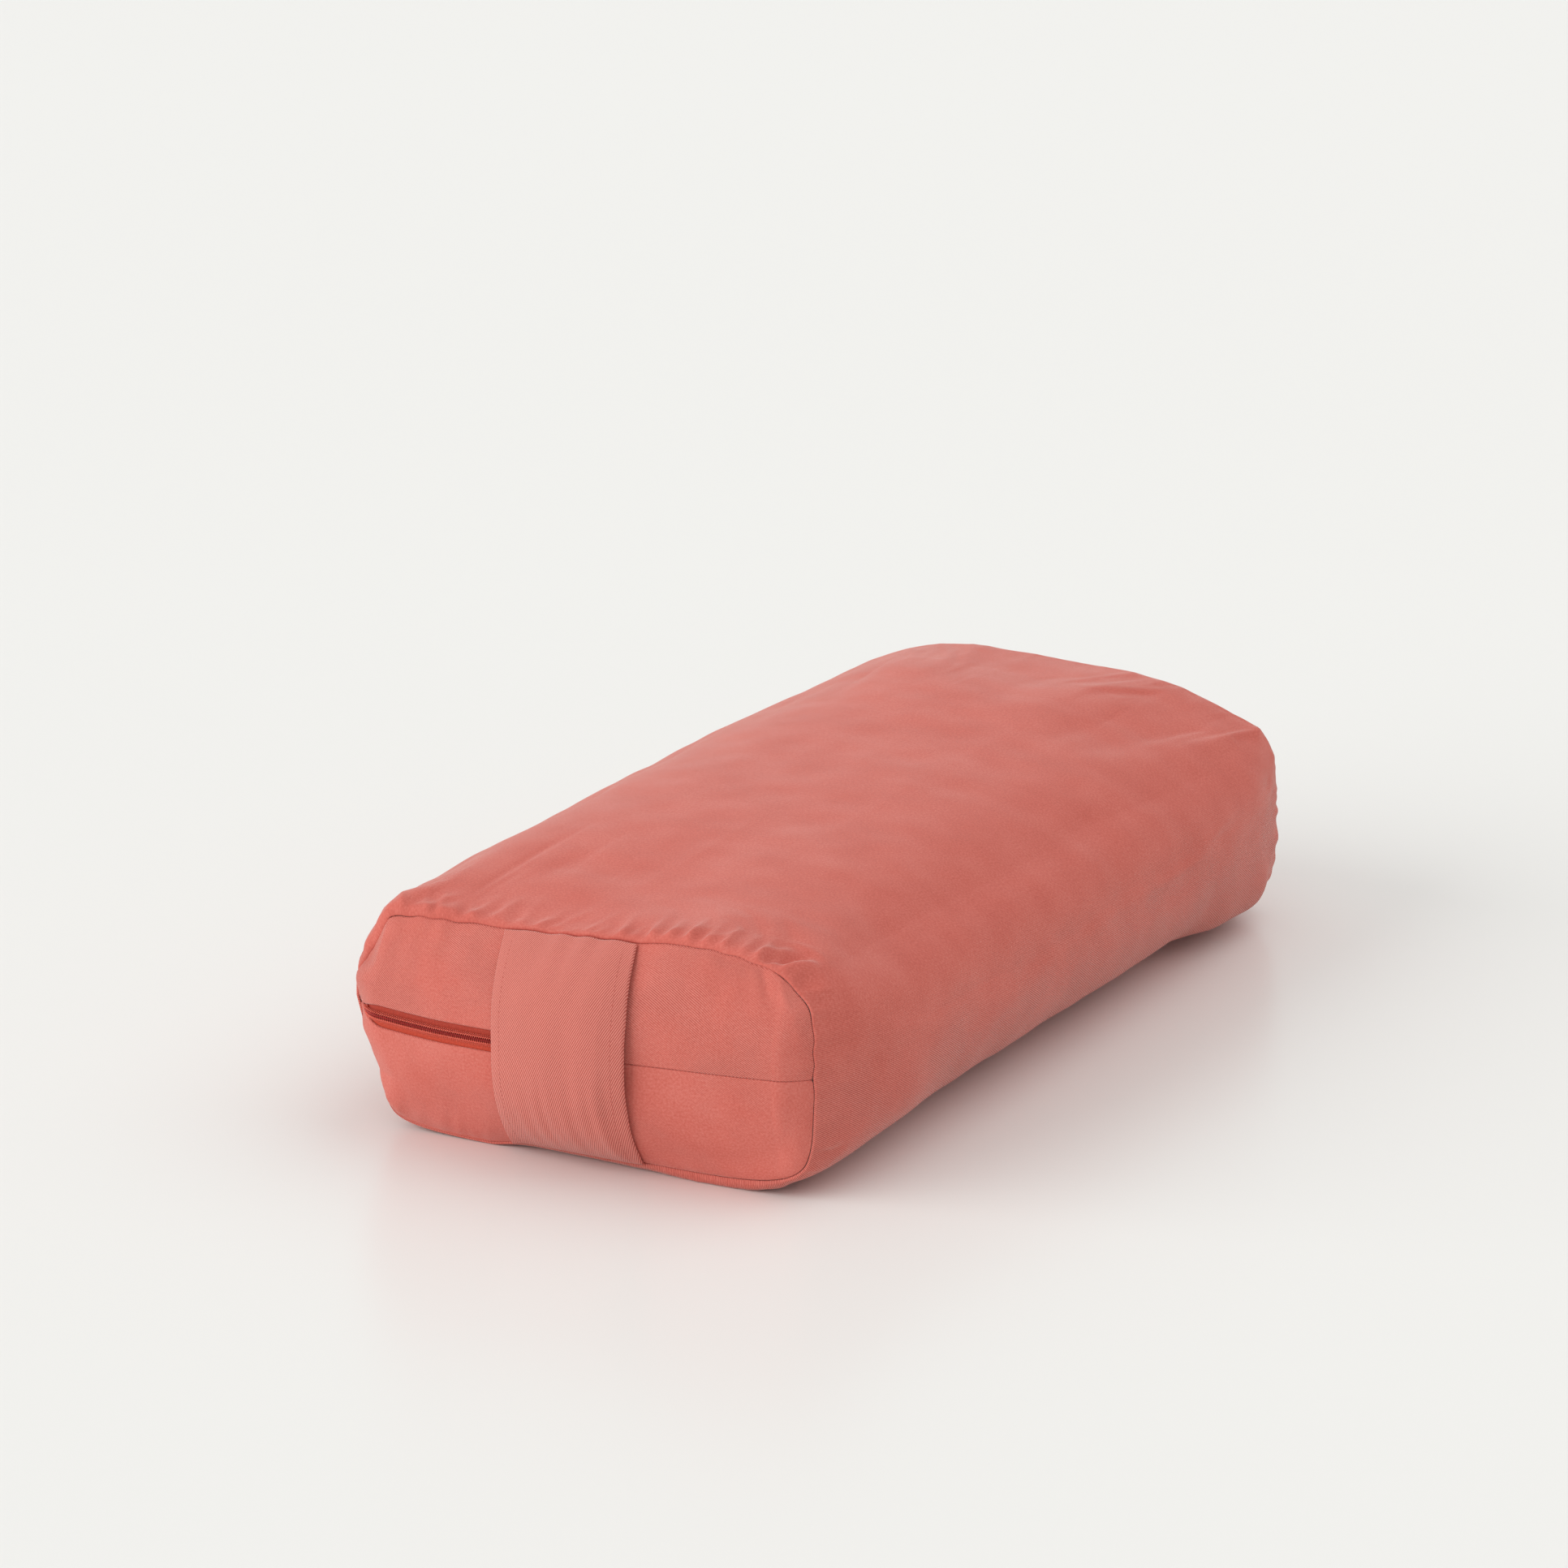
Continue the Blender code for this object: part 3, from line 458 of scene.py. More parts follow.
def simulate(grid, held, spare):
    """Moves of a closed grid after the last frame: move / size * most * tanh(size / most)."""
    mesh = bpy.data.meshes.new("trial_cloth")
    quads = grid_quads(numbers(grid, True))[:, ::-1]
    mesh.from_pydata(grid.reshape(-1, 3).tolist(), [], quads.tolist())
    trial = add_object("trial_cloth", mesh)
    for group_name, weights in (("held", held), ("spare", spare)):
        group = trial.vertex_groups.new(name=group_name)
        steps = np.round(np.clip(weights.ravel(), 0, 1) * WEIGHT_STEPS).astype(int)
        for step in np.unique(steps[steps > 0]):
            group.add(np.nonzero(steps == step)[0].tolist(), step / WEIGHT_STEPS, "REPLACE")
    cloth = trial.modifiers.new("cloth", "CLOTH").settings
    cloth.quality = 5
    cloth.mass = 0.25
    cloth.tension_stiffness = cloth.compression_stiffness = 25
    cloth.shear_stiffness = 10
    cloth.bending_stiffness = 0.15
    cloth.vertex_group_mass = "held"
    cloth.pin_stiffness = 1
    cloth.vertex_group_shrink = "spare"
    cloth.shrink_min = 0
    cloth.shrink_max = -SPARE_CLOTH
    cloth.use_pressure = True
    cloth.uniform_pressure_force = 1
    cloth.effector_weights.gravity = 0
    scene = bpy.context.scene
    scene.frame_start, scene.frame_end = 1, FRAMES
    for frame_number in range(1, FRAMES + 1):
        scene.frame_set(frame_number)
    shaped = trial.evaluated_get(bpy.context.evaluated_depsgraph_get()).data
    points = np.empty(len(shaped.vertices) * 3)
    shaped.vertices.foreach_get("co", points)
    bpy.data.objects.remove(trial, do_unlink=True)
    scene.frame_set(1)
    move = points.reshape(grid.shape) - grid
    size = np.maximum(np.linalg.norm(move, axis=-1, keepdims=True), 1e-9)
    print("cloth moved", round(float(size.mean()), 5), "m on average")
    print("and at most", round(float(size.max()), 5), "m")
    return move / size * MOST_MOVE * np.tanh(size / MOST_MOVE)


print("spare cloth at the seams:", SPARE_CLOTH)

# %% [markdown]
# ## Twill
# Twill shows fine diagonal wales, about 0.9 mm apart. The cloth is brushed, so its nap
# hides the wales in some places and lifts lighter patches in others. A wave texture over
# the UV map makes the wales, a second one the yarns that cross them, and noises of four
# sizes make the nap, the clouds, the specks and the fibres. Sheen gives the pale edge of
# brushed cotton, and is set on the shader itself.

# %% Material helpers


def new_material(name):
    """An empty node material with its Principled shader."""
    material = bpy.data.materials.new(name)
    material.use_nodes = True
    tree = material.node_tree
    return material, tree, tree.nodes["Principled BSDF"]


def fill(tree, socket, value):
    """Link a socket to another one, or set its number or colour."""
    if isinstance(value, bpy.types.NodeSocket):
        tree.links.new(value, socket)
    else:
        socket.default_value = value


def fill_inputs(tree, made, **values):
    """Fill the inputs of a node; an underscore stands for a space in an input's name."""
    for key, value in values.items():
        fill(tree, made.inputs[key.replace("_", " ")], value)


def node(tree, kind, **settings):
    """A new node with the given settings and inputs."""
    made = tree.nodes.new(kind)
    for key, value in settings.items():
        if key.replace("_", " ") in made.inputs:
            fill_inputs(tree, made, **{key: value})
        else:
            setattr(made, key, value)
    return made


def maths(tree, operation, first, second):
    """A Math node on two sockets or numbers; returns its output."""
    made = node(tree, "ShaderNodeMath", operation=operation)
    for socket, value in zip(made.inputs, (first, second)):
        fill(tree, socket, value)
    return made.outputs[0]


def noise(tree, vector, scale, detail=3, roughness=0.55):
    """A Noise texture on a vector; returns its value."""
    made = node(tree, "ShaderNodeTexNoise", Vector=vector, Scale=scale, Detail=detail, Roughness=roughness)
    return made.outputs["Fac"]


def bands(tree, vector, pitch, turn, distortion):
    """A Wave texture, 20 radians to the unit at scale 1, whose bands lie pitch apart at an angle."""
    turned = node(tree, "ShaderNodeMapping", Vector=vector, Rotation=(0, 0, math.radians(turn)))
    made = node(tree, "ShaderNodeTexWave", Vector=turned.outputs[0], Scale=math.pi / 10 / pitch)
    fill_inputs(tree, made, Distortion=distortion, Detail=2, Detail_Scale=0.25)
    return made.outputs["Fac"]


def mix_colour(tree, factor, first, second):
    """A colour Mix node on sockets or colours."""
    made = node(tree, "ShaderNodeMix", data_type="RGBA", clamp_factor=True)
    for socket, value in zip((made.inputs[0], *made.inputs[6:8]), (factor, first, second)):
        fill(tree, socket, (*value, 1) if isinstance(value, tuple) else value)
    return made.outputs[2]


def spread(tree, value, low, high, to_low, to_high):
    """A Map Range node from low..high to to_low..to_high, clamped."""
    made = node(tree, "ShaderNodeMapRange", Value=value, From_Min=low, From_Max=high)
    fill_inputs(tree, made, To_Min=to_low, To_Max=to_high)
    return made.outputs["Result"]


def surface(tree, shader, colour, height, strength, distance):
    """Give the shader a colour and a bump."""
    bump = node(tree, "ShaderNodeBump", Height=height, Strength=strength, Distance=distance)
    fill_inputs(tree, shader, Base_Color=colour, Normal=bump.outputs["Normal"])


# %% Brushed twill
CORAL_DEEP = (0.460, 0.094, 0.072)
CORAL = (0.640, 0.152, 0.118)
CORAL_PALE = (0.760, 0.262, 0.218)
WALE_PITCH = 0.00092
YARN_PITCH = 0.00045
YARN_TURN = 62
YARN_SHARE = 0.35
NAP_SCALE, FIBRE_SCALE, CLOUD_SCALE, SPECK_SCALE = 22, 2600, 28, 760
CLOUD_TONE, SPECK_TONE, WALE_TONE = 0.09, 0.19, 1.25
WORN_REST = 0.12
MOST_RELIEF = 0.8


def twill(name, turn, wale, nap, pale=0, worn_from=1, worn_to=2, pitch=WALE_PITCH):
    """Brushed twill: strength of the diagonal, share brushed over, paleness, heights of a worn top."""
    material, tree, shader = new_material(name)
    uv = node(tree, "ShaderNodeUVMap", uv_map="cloth").outputs["UV"]
    brushed = spread(tree, noise(tree, uv, NAP_SCALE, 4), 0.42, 0.62, 1 - nap, 1)
    wales = bands(tree, uv, pitch, turn, 1.2)
    yarns = bands(tree, uv, YARN_PITCH, turn - YARN_TURN, 1)
    fibres = noise(tree, uv, FIBRE_SCALE, 2, 0.7)
    place = node(tree, "ShaderNodeTexCoord").outputs["Object"]
    parted = node(tree, "ShaderNodeSeparateXYZ", Vector=place)
    worn = spread(tree, parted.outputs["Z"], worn_from, worn_to, 1, WORN_REST)
    strength = maths(tree, "MULTIPLY", maths(tree, "MULTIPLY", brushed, wale), worn)
    weave = maths(tree, "ADD", wales, maths(tree, "MULTIPLY", yarns, YARN_SHARE))
    ridge = maths(tree, "MULTIPLY", maths(tree, "MULTIPLY", weave, strength), min(1, MOST_RELIEF / wale))
    height = maths(tree, "ADD", ridge, maths(tree, "MULTIPLY", fibres, 0.5))
    lightness = maths(tree, "MULTIPLY", maths(tree, "SUBTRACT", wales, 0.5), strength)
    clouds = noise(tree, uv, CLOUD_SCALE, 7, 0.62)
    specks = noise(tree, uv, SPECK_SCALE, 3, 0.66)
    cloud_tone = spread(tree, clouds, 0.3, 0.7, pale + 0.5 - CLOUD_TONE, pale + 0.5 + CLOUD_TONE)
    tone = maths(tree, "ADD", cloud_tone, maths(tree, "MULTIPLY", lightness, WALE_TONE))
    tone = maths(tree, "ADD", tone, spread(tree, specks, 0.3, 0.7, -SPECK_TONE, SPECK_TONE))
    low = mix_colour(tree, spread(tree, tone, 0, 0.5, 0, 1), CORAL_DEEP, CORAL)
    full = mix_colour(tree, spread(tree, tone, 0.5, 1, 0, 1), low, CORAL_PALE)
    surface(tree, shader, full, height, 0.6, 0.0004)
    rough = spread(tree, clouds, 0.3, 0.7, 0.95, 0.82)
    fill_inputs(tree, shader, Roughness=rough, Specular_IOR_Level=0.18)
    fill_inputs(tree, shader, Sheen_Weight=0.46, Sheen_Roughness=0.30, Sheen_Tint=(1, 0.94, 0.90, 1))
    return material


wrap_twill = twill("brushed_twill_wrap", -27, 0.85, 0.4, 0, 0.055, 0.110)
panel_twill = twill("twill_end_panel", -60, 0.85, 0.65, 0.07)
plain_twill = twill("twill_end_panel_low", -60, 0.40, 0.95, 0.08)
handle_twill = twill("twill_handle", 27, 2.2, 0.15, 0.52, pitch=0.00104)
print("materials:", [m.name for m in bpy.data.materials])

# %% [markdown]
# ## The wrap
# The long cloth is a grid: rows along the bolster, closer together near the seams where
# it ripples, and columns at equal steps round the end seam. At both ends it rolls inwards
# over its last millimetre, which is how a turned seam looks from outside. Its folds, and
# a little more height for the gathers, come after the simulation, which would smooth
# them away.

# %% Places of the gathers along an end seam


def seam_place(x, z):
    """Length along the end seam, from its lowest middle point, of the place nearest to x, z."""
    gap = np.hypot(SEAM_LINE[:, 0] - x, SEAM_LINE[:, 2] - z)
    return running_length(SEAM_LINE)[np.argmin(gap)]


def gathers(seed, length, spacing, height, reach, ranges):
    """One ripple about every spacing metres: place, height, width, reach and lean, drawn in turn."""
    random = np.random.default_rng(seed)
    count = int(length / spacing)
    at, tall, wide, long, lean = (random.uniform(low, high, count) for low, high in ranges)
    at = (np.arange(count) + at) * spacing
    return np.stack([at, height * tall, spacing * wide, reach * long, lean], axis=1)


SEAM_LINE = end_seam(np.linspace(*FULL_TURN, FINE_STEPS))
SEAM_RANGES = ((-0.35, 0.35), (0.3, 1), (0.22, 0.36), (0.6, 1.3), (-0.4, 0.4))
PANEL_RANGES = ((0.1, 0.9), (0.2, 1), (0.2, 0.34), (1, 2), (-0.3, 0.3))
front_x = millimetres(-126, -112, -96, -86, -68, 22, 39, 50, 61, 71, 81, 92, 101, 110)
front_rise = millimetres(0.7, 1.2, 0.9, 1.4, 1.1, 1.2, 2.3, 1.6, 2.6, 1.8, 2.4, 1.5, 2.3, 1.7)
front_marks = [[seam_place(x, SEAM_TOP), rise, 0.0024, 0.0075, 0.285] for x, rise in zip(front_x, front_rise)]
scattered = gathers(3, SEAM_ROUND, 0.0095, 0.0013, 0.006, SEAM_RANGES)
scattered[:, 1] *= np.where(scattered[:, 0] > seam_place(-0.105, SEAM_TOP), 0.35, 1)
front_marks = np.concatenate([front_marks, scattered])
rear_marks = gathers(5, SEAM_ROUND, 0.0105, 0.0013, 0.008, SEAM_RANGES)
on_top = (rear_marks[:, 0] > seam_place(0.118, SEAM_TOP)) & (rear_marks[:, 0] < seam_place(-0.134, 0.100))
rear_marks[:, 1] *= np.where(on_top, 0.25, 1)
print(len(front_marks), "gathers at the front seam,", len(rear_marks), "at the rear")

# %% How full the wrap stands beside the near seam


def tucked_seam(x, z):
    """1 along the lower left of the near seam, where the panel sags over it, else 0."""
    low = ramp(-z, -0.022, -0.008) * ramp(-x, 0.040, 0.060)
    return np.maximum(low, ramp(-x, 0.118, 0.130) * ramp(-z, -0.085, -0.070))


PUFF_PLACES = [
    (35, 4.5, 2.2), (66, 4.5, 4.2), (98, 4.5, 4), (118, 6, 1), (131, 20, 0.5), (135.5, 68, 0.8),
    (131, 115, 1), (60, 125, 0.6), (0, 125, 0.5), (-60, 125, 0.7), (-115, 122, 3), (-130, 108, 4),
    (-135.5, 90, 1.5), (-135.5, 68, 0.2), (-131, 20, -2.4), (-110, 4.5, -2.4), (-60, 4.5, -1),
    (-35, 4.5, 1.2)]
PUFF_X, PUFF_Z, PUFF = millimetres(*PUFF_PLACES).T
PUFF_AT = [0] + [seam_place(x, z) for x, z in zip(PUFF_X, PUFF_Z)] + [SEAM_ROUND]
PUFF = np.concatenate([[0.0016], PUFF, [0.0016]])
REAR_PUFF, PUFF_REACH = 0.0010, 0.006
print("fullness at", len(PUFF_AT), "places")

# %% Folds of the wrap, in millimetres: start, end, height and width
CORNER_FOLD = [((-130, -260, 105), (-100, -260, 124), 5.5, 13)]
WRAP_FOLDS = [
    ((104, -277, 125), (119, -252, 124), -4.5, 4),
    ((103, -279, 125), (120, -257, 122.5), -3, 1.8),
    ((112, -278, 121.5), (127, -256, 119.5), 5, 4.8),
    ((96, -278, 126), (108, -254, 126.5), 2.6, 3.6),
    ((101, -244, 129), (129, -250, 120), 1.6, 2),
    ((131, -277.5, 108), (142, -250, 105), -2.2, 4),
    ((134, -279, 86), (145, -256, 84), -2, 2.6),
    ((134, -279, 60), (146, -250, 56), -2.2, 3),
    ((133, -279, 30), (144, -256, 24), -2.4, 3),
    ((154.5, -50, 68), (155, 70, 75), 1.2, 4.5),
    ((155, 50, 74), (155, 150, 74), 1.6, 4),
    ((155, 120, 73), (154, 200, 90), 1.4, 4.5),
    ((154.8, -170, 50), (154.8, -70, 62), 0.7, 6),
    ((155, 40, 61), (155, 160, 62), -1.2, 6),
]


def creases(points, folds):
    """Sum of the creases of a list in millimetres."""
    return sum(crease(points, *(np.array(part) / 1000 for part in fold)) for fold in folds)


print(len(WRAP_FOLDS), "folds")

# %% Grid of the wrap
NEAR_SEAM = millimetres(0, 0.08, 0.2, 0.4, 0.7, 1.1, 1.8, 2.8)
spaced = np.linspace(-1, 1, 151)
rows = SEAM_Y * (0.35 * spaced + 0.65 * np.sin(0.5 * math.pi * spaced))
rows = rows[np.abs(rows) < SEAM_Y - 0.0034]
rows = np.concatenate([-SEAM_Y + NEAR_SEAM, rows, SEAM_Y - NEAR_SEAM[::-1]])
row_y, column_angle = np.meshgrid(rows, seam_angles[:-1], indexing="ij")
seam_lengths = np.linspace(0, SEAM_ROUND, AROUND + 1)
place = np.broadcast_to(seam_lengths[:-1], row_y.shape)
end_gap = SEAM_Y - np.abs(row_y)
skin = settle(cover_surface(row_y, column_angle))
normal = grid_normals(skin, True)
normal *= np.sign((normal[75] * (skin[75] - [0, skin[75, 0, 1], ZIP_Z])).sum())
print("wrap grid of", len(rows), "rows and", AROUND, "columns")

# %% Relief of the wrap before the simulation
ROLL, ROLL_LENGTH = 0.0014, 0.0008
LOW_SEAM_RISE = 0.0008
relief = ripples(place, row_y + SEAM_Y, front_marks) + ripples(place, SEAM_Y - row_y, rear_marks)
relief += 0.0011 * unevenness(skin, 0.085, 11) + 0.0004 * unevenness(skin, 0.028, 12)
relief += creases(skin, CORNER_FOLD)
off_floor = ramp(skin[..., 2], 0.0005, 0.012)
relief *= off_floor * ramp(end_gap, -0.002, 0.003)
relief += np.where(row_y < 0, np.interp(place, PUFF_AT, PUFF), REAR_PUFF) * swell(end_gap, PUFF_REACH)
hidden = tucked_seam(skin[..., 0], skin[..., 2]) * (row_y < 0)
relief -= ROLL * rounding(end_gap, ROLL_LENGTH) - LOW_SEAM_RISE * hidden
face = skin + normal * relief[..., None]
face[..., 2] = np.maximum(face[..., 2], 0)
print("relief from", round(float(relief.min()), 4), "to", round(float(relief.max()), 4), "m")

# %% Wrap through the simulation
MOST_SUNK = 0.0008
coarse = (end_gap[:, 0] < 0.060) | (np.arange(len(rows)) % 6 == 0)
held = ramp(-end_gap, -0.0030, -0.0012) + 0 * row_y
held = np.maximum(held, ramp(-face[..., 2], -0.006, -0.001))
spare = ramp(-end_gap, -0.040, -0.010) * np.where(row_y > 0, 0.3, 1)
moved = simulate(face[coarse], held[coarse], spare[coarse])
sunk = np.minimum((moved * normal[coarse]).sum(axis=-1, keepdims=True) + MOST_SUNK, 0)
moved -= normal[coarse] * sunk
at = np.interp(rows, rows[coarse], np.arange(coarse.sum()))
below = np.minimum(at.astype(int), coarse.sum() - 2)
face = face + blend(moved[below], moved[below + 1], (at - below)[:, None, None])
print("the trial cloth has", int(coarse.sum()), "rows")

# %% Pinches and the finished wrap
FOLD_SHARE, GATHER_SHARE = 0.85, 0.13
DEEPEST = 0.0036
pinched = FOLD_SHARE * creases(skin, WRAP_FOLDS) + GATHER_SHARE * ripples(place, row_y + SEAM_Y, front_marks)
pinched *= off_floor * ramp(end_gap, 0, 0.003)
height = ((face - skin) * normal).sum(axis=-1)
face = face + normal * np.maximum(pinched, np.minimum(-DEEPEST - height, 0))[..., None]
face[..., 2] = np.maximum(face[..., 2], 0)
face_normal = grid_normals(face, True)
face_normal *= np.sign((face_normal * normal).sum(axis=-1, keepdims=True))
keep = (end_gap[:, 0] < 0.015) | (np.arange(len(rows)) % 5 == 0)
back = (face - face_normal * CLOTH)[keep]
uv_face = np.stack(np.broadcast_arrays(seam_lengths[None, :], rows[:, None]), axis=-1)
wrap = cloth_piece("wrap_cloth", face, back, uv_face, uv_face[keep], True, wrap_twill)
fit(wrap, "cover_cloth", "cover_wrap")

# %% [markdown]
# ## The end panels
# The near end is two pieces of cloth, folded under along the zip. Their grids run from
# the fold to the seam, and the fold is a quarter circle. On the plain half the two folds
# meet in one fine seam. The far end is one piece.

# %% Panel grids
OPENING = 0.012
FOLD = 0.0011
PANEL_ROLL = 0.0006
LEFT_PUFF = 0.0026
PANEL_ROWS, PANEL_COLUMNS = 84, 300
OPENING_TO = 0.0227
SEAM_FROM = 0.0382


def fold_height(x):
    """Height of a folded edge over the zip's middle: half the opening, closing at both ends."""
    open_half = OPENING / 2 * (1 - 0.80 * ramp(-x, 0.112, 0.134))
    return blend(open_half, -0.00005, ramp(x, OPENING_TO, SEAM_FROM))


def rim_outline(side, count):
    """Points of the seam from the right side over the top, or under, to the left side."""
    height = RIM_UP if side > 0 else RIM_DOWN

    def outline(angle):
        """The superellipse of the rim."""
        return np.stack(superellipse(angle, SEAM_POWER), axis=-1) * [RIM_HALF, height]

    start = math.atan2(fold_height(RIM_HALF) + CLOTH, height)
    end = math.pi - math.atan2(fold_height(-RIM_HALF) + CLOTH, height)
    angles, length = even_angles(outline, start, end, count)
    return outline(angles), length


def face_arc(x, z):
    """Lengths over the bulge from its middle: the running length of the profile along x and z."""
    line = np.linspace(-RIM_HALF, RIM_HALF, 2001)
    across = running_length(np.stack([line, end_depth(line, 0 * line + ZIP_Z)], axis=-1))
    tall = np.linspace(ZIP_Z - RIM_DOWN, ZIP_Z + RIM_UP, 2001)
    upward = running_length(np.stack([tall, end_depth(0 * tall, tall)], axis=-1))
    return np.stack([np.interp(x, line, across) - across[1000], np.interp(z, tall, upward)], axis=-1)


PANEL_FOLDS = [
    ((104, -279, 122.5), (112, -290, 106), -3, 3.6),
    ((114, -279, 119), (123, -286, 104), 1.6, 4),
]


def panel_flat(side):
    """Places of a half panel's grid, their lengths from the fold and the seam, and along the rim."""
    rim, length = rim_outline(side, PANEL_COLUMNS)
    leftwards, height = -rim[:, :1], ZIP_Z + side * rim[:, 1:]
    low = ramp(-height, -0.030, -0.010) * ramp(leftwards, 0.040, 0.060)
    beside = ramp(leftwards, 0.120, 0.130) * ramp(-height, -0.088, -0.072)
    rim = rim * (1.002 + 0.013 * low + 0.006 * beside)
    across = np.linspace(0, 1, PANEL_COLUMNS)
    foot_x = RIM_HALF * (1 - 2 * across)
    foot = np.stack([foot_x, fold_height(foot_x)], axis=-1)
    share = (0.5 - 0.5 * np.cos(np.linspace(0, math.pi, PANEL_ROWS)))[:, None]
    flat = foot + (rim - foot) * share[..., None]
    reach = np.linalg.norm(rim - foot, axis=-1)
    along = np.broadcast_to(across * length, flat.shape[:2])
    return flat[..., 0], ZIP_Z + side * flat[..., 1], share * reach, (1 - share) * reach, along


def make_panel(name, side, material, solid, marks, seed):
    """Half of the near end: straight lines from the fold to the seam, bulged and rolled."""
    x, z, from_fold, from_seam, along = panel_flat(side)
    level = face_point(x, z)
    depth = -FOLD * rounding(from_fold, FOLD) - PANEL_ROLL * rounding(from_seam, PANEL_ROLL)
    soft = ramp(from_seam, 0, 0.01) * ramp(from_fold, 0, 0.006)
    depth += (0.0006 * unevenness(level, 0.06, seed) + 0.00025 * unevenness(level, 0.022, seed + 1)) * soft
    depth += ripples(along, from_seam, marks) * ramp(from_fold, 0, 0.01)
    depth += creases(level, PANEL_FOLDS)
    left = ramp(-x, 0.105, 0.128) * ramp(-z, -0.100, -0.082)
    depth += LEFT_PUFF * left * ramp(from_fold, 0.001, 0.014) * swell(from_seam, PUFF_REACH)
    face = settle(face_point(x, z, depth))
    normal = grid_normals(face, False)
    normal *= -np.sign(normal[..., 1:2].mean())
    uv = face_arc(x, z)
    panel = cloth_piece(name, face, face - normal * CLOTH, uv, uv, False, material)
    fit(panel, "cover_cloth", solid)


# %% Near end panels
upper_marks = gathers(21, 0.36, 0.012, 0.0004, 0.003, PANEL_RANGES)
make_panel("end_panel_above_zip", 1, panel_twill, "front_panel_upper", upper_marks, 31)
lower_marks = gathers(22, 0.37, 0.012, 0.0004, 0.003, PANEL_RANGES)
make_panel("end_panel_below_zip", -1, plain_twill, "front_panel_lower", lower_marks, 41)

# %% Far end panel
FAR_COLUMNS = 360
far_angles, far_length = even_angles(end_seam, *FULL_TURN, FAR_COLUMNS + 1)
far_x, far_z = superellipse(far_angles[:-1], SEAM_POWER)
far_rim = np.stack([RIM_HALF * far_x, np.where(far_z > 0, RIM_UP, RIM_DOWN) * far_z], axis=-1)
share = np.sin(np.linspace(0, 0.5 * math.pi, 64)) ** 0.9
flat = far_rim * 1.003 * share[:, None, None]
x, z = flat[..., 0], ZIP_Z + flat[..., 1]
from_seam = (1 - share[:, None]) * np.linalg.norm(far_rim, axis=-1)
depth = -PANEL_ROLL * rounding(from_seam, PANEL_ROLL)
depth += 0.0007 * unevenness(face_point(x, z), 0.06, 51) * ramp(from_seam, 0, 0.01)
along = np.broadcast_to(np.linspace(0, far_length, FAR_COLUMNS + 1)[:-1], x.shape)
depth += ripples(along, from_seam, gathers(52, SEAM_ROUND, 0.012, 0.0005, 0.005, SEAM_RANGES))
face, back = (settle(face_point(x, z, d) * [1, -1, 1]) for d in (depth, depth - CLOTH))
uv = face_arc(x, z)
uv = np.concatenate([uv, uv[:, :1]], axis=1)
far_end = cloth_piece("far_end_panel", face, back, uv, uv, True, panel_twill)
close_pole(far_end)
fit(far_end, "cover_cloth", "rear_panel")

# %% [markdown]
# ## The carry handle
# A band of two layers runs from the top seam to the bottom seam and stands off the panel
# enough for a hand. Its edge over the zip lies close to the panel, and the other one
# stands off further, most of all half way up.

# %% Handle band
HANDLE_WIDTH = 0.079
HANDLE_STAND = 0.0066
HANDLE_THICK = 0.0018
HANDLE_ROUND = 0.0009
HANDLE_REACH = 0.985
up_grid = np.linspace(-HANDLE_REACH, HANDLE_REACH, 180)
rise, line = np.meshgrid(up_grid, np.linspace(-1, 1, 120), indexing="ij")
x = line * HANDLE_WIDTH / 2 - np.where(rise > 0, 0.007, 0.004) * np.abs(rise) ** 2.2
width_left = (1 - np.abs(x / RIM_HALF) ** SEAM_POWER) ** (1 / SEAM_POWER)
z = ZIP_Z + rise * width_left * np.where(rise > 0, RIM_UP, RIM_DOWN)
bow = 1 - np.abs(rise / HANDLE_REACH) ** 3
low_edge = 1 - 0.45 * ramp(np.abs(rise), 0.15, 0.45)
curl = np.where(line > 0, 1 - 0.52 * low_edge, 0.85) * np.abs(line) ** 2.6
stand = 0.0003 + HANDLE_STAND * bow * (1 - curl)
broad = unevenness(np.stack([x * 2.2, 0 * x, z * 0.35], axis=-1), 0.03, 61)
narrow = unevenness(np.stack([x * 4.5, 0 * x, z * 0.4], axis=-1), 0.03, 62)
stand += (0.0005 * broad + 0.0007 * narrow * ramp(-rise, -0.1, 0.5)) * bow
rounded = HANDLE_ROUND * rounding(HANDLE_WIDTH / 2 * (1 - np.abs(line)), HANDLE_ROUND)
handle_face = settle(face_point(x, z, stand + HANDLE_THICK - rounded))
handle_back = settle(face_point(x, z, stand + rounded * 0.98))
uv = np.stack([x, rise * 0.065], axis=-1)
handle = cloth_piece("handle_band", handle_face, handle_back, uv, uv, False, handle_twill)
fit(handle, "handle_cloth", "carry_handle")

# %% [markdown]
# ## The zip
# The zip is a fine nylon coil zip. Each side has a woven tape, a coil whose loops hook
# those of the other side, and a sewn thread that holds the coil to the tape. The places
# along it are lengths over the bulge, as on the solids.

# %% Places along the zip


def zip_path():
    """x along the zip's middle and the length over the bulge from the middle."""
    x = np.linspace(-RIM_HALF, RIM_HALF, FINE_STEPS)
    length = running_length(np.stack([x, end_depth(x, 0 * x + ZIP_Z)], axis=-1))
    return x, length - length[FINE_STEPS // 2]


PATH_X, PATH_LENGTH = zip_path()
TAPE_FRONT = -0.0015
STOPS_FROM = HANDLE_WIDTH / 4
PITCH = 0.00127
CHAIN_FROM = PATH_LENGTH[0] + 0.014 + PITCH
MOUTH_FROM, MOUTH_TO, MOUTH = 0.01332, 0.01690, 0.0018


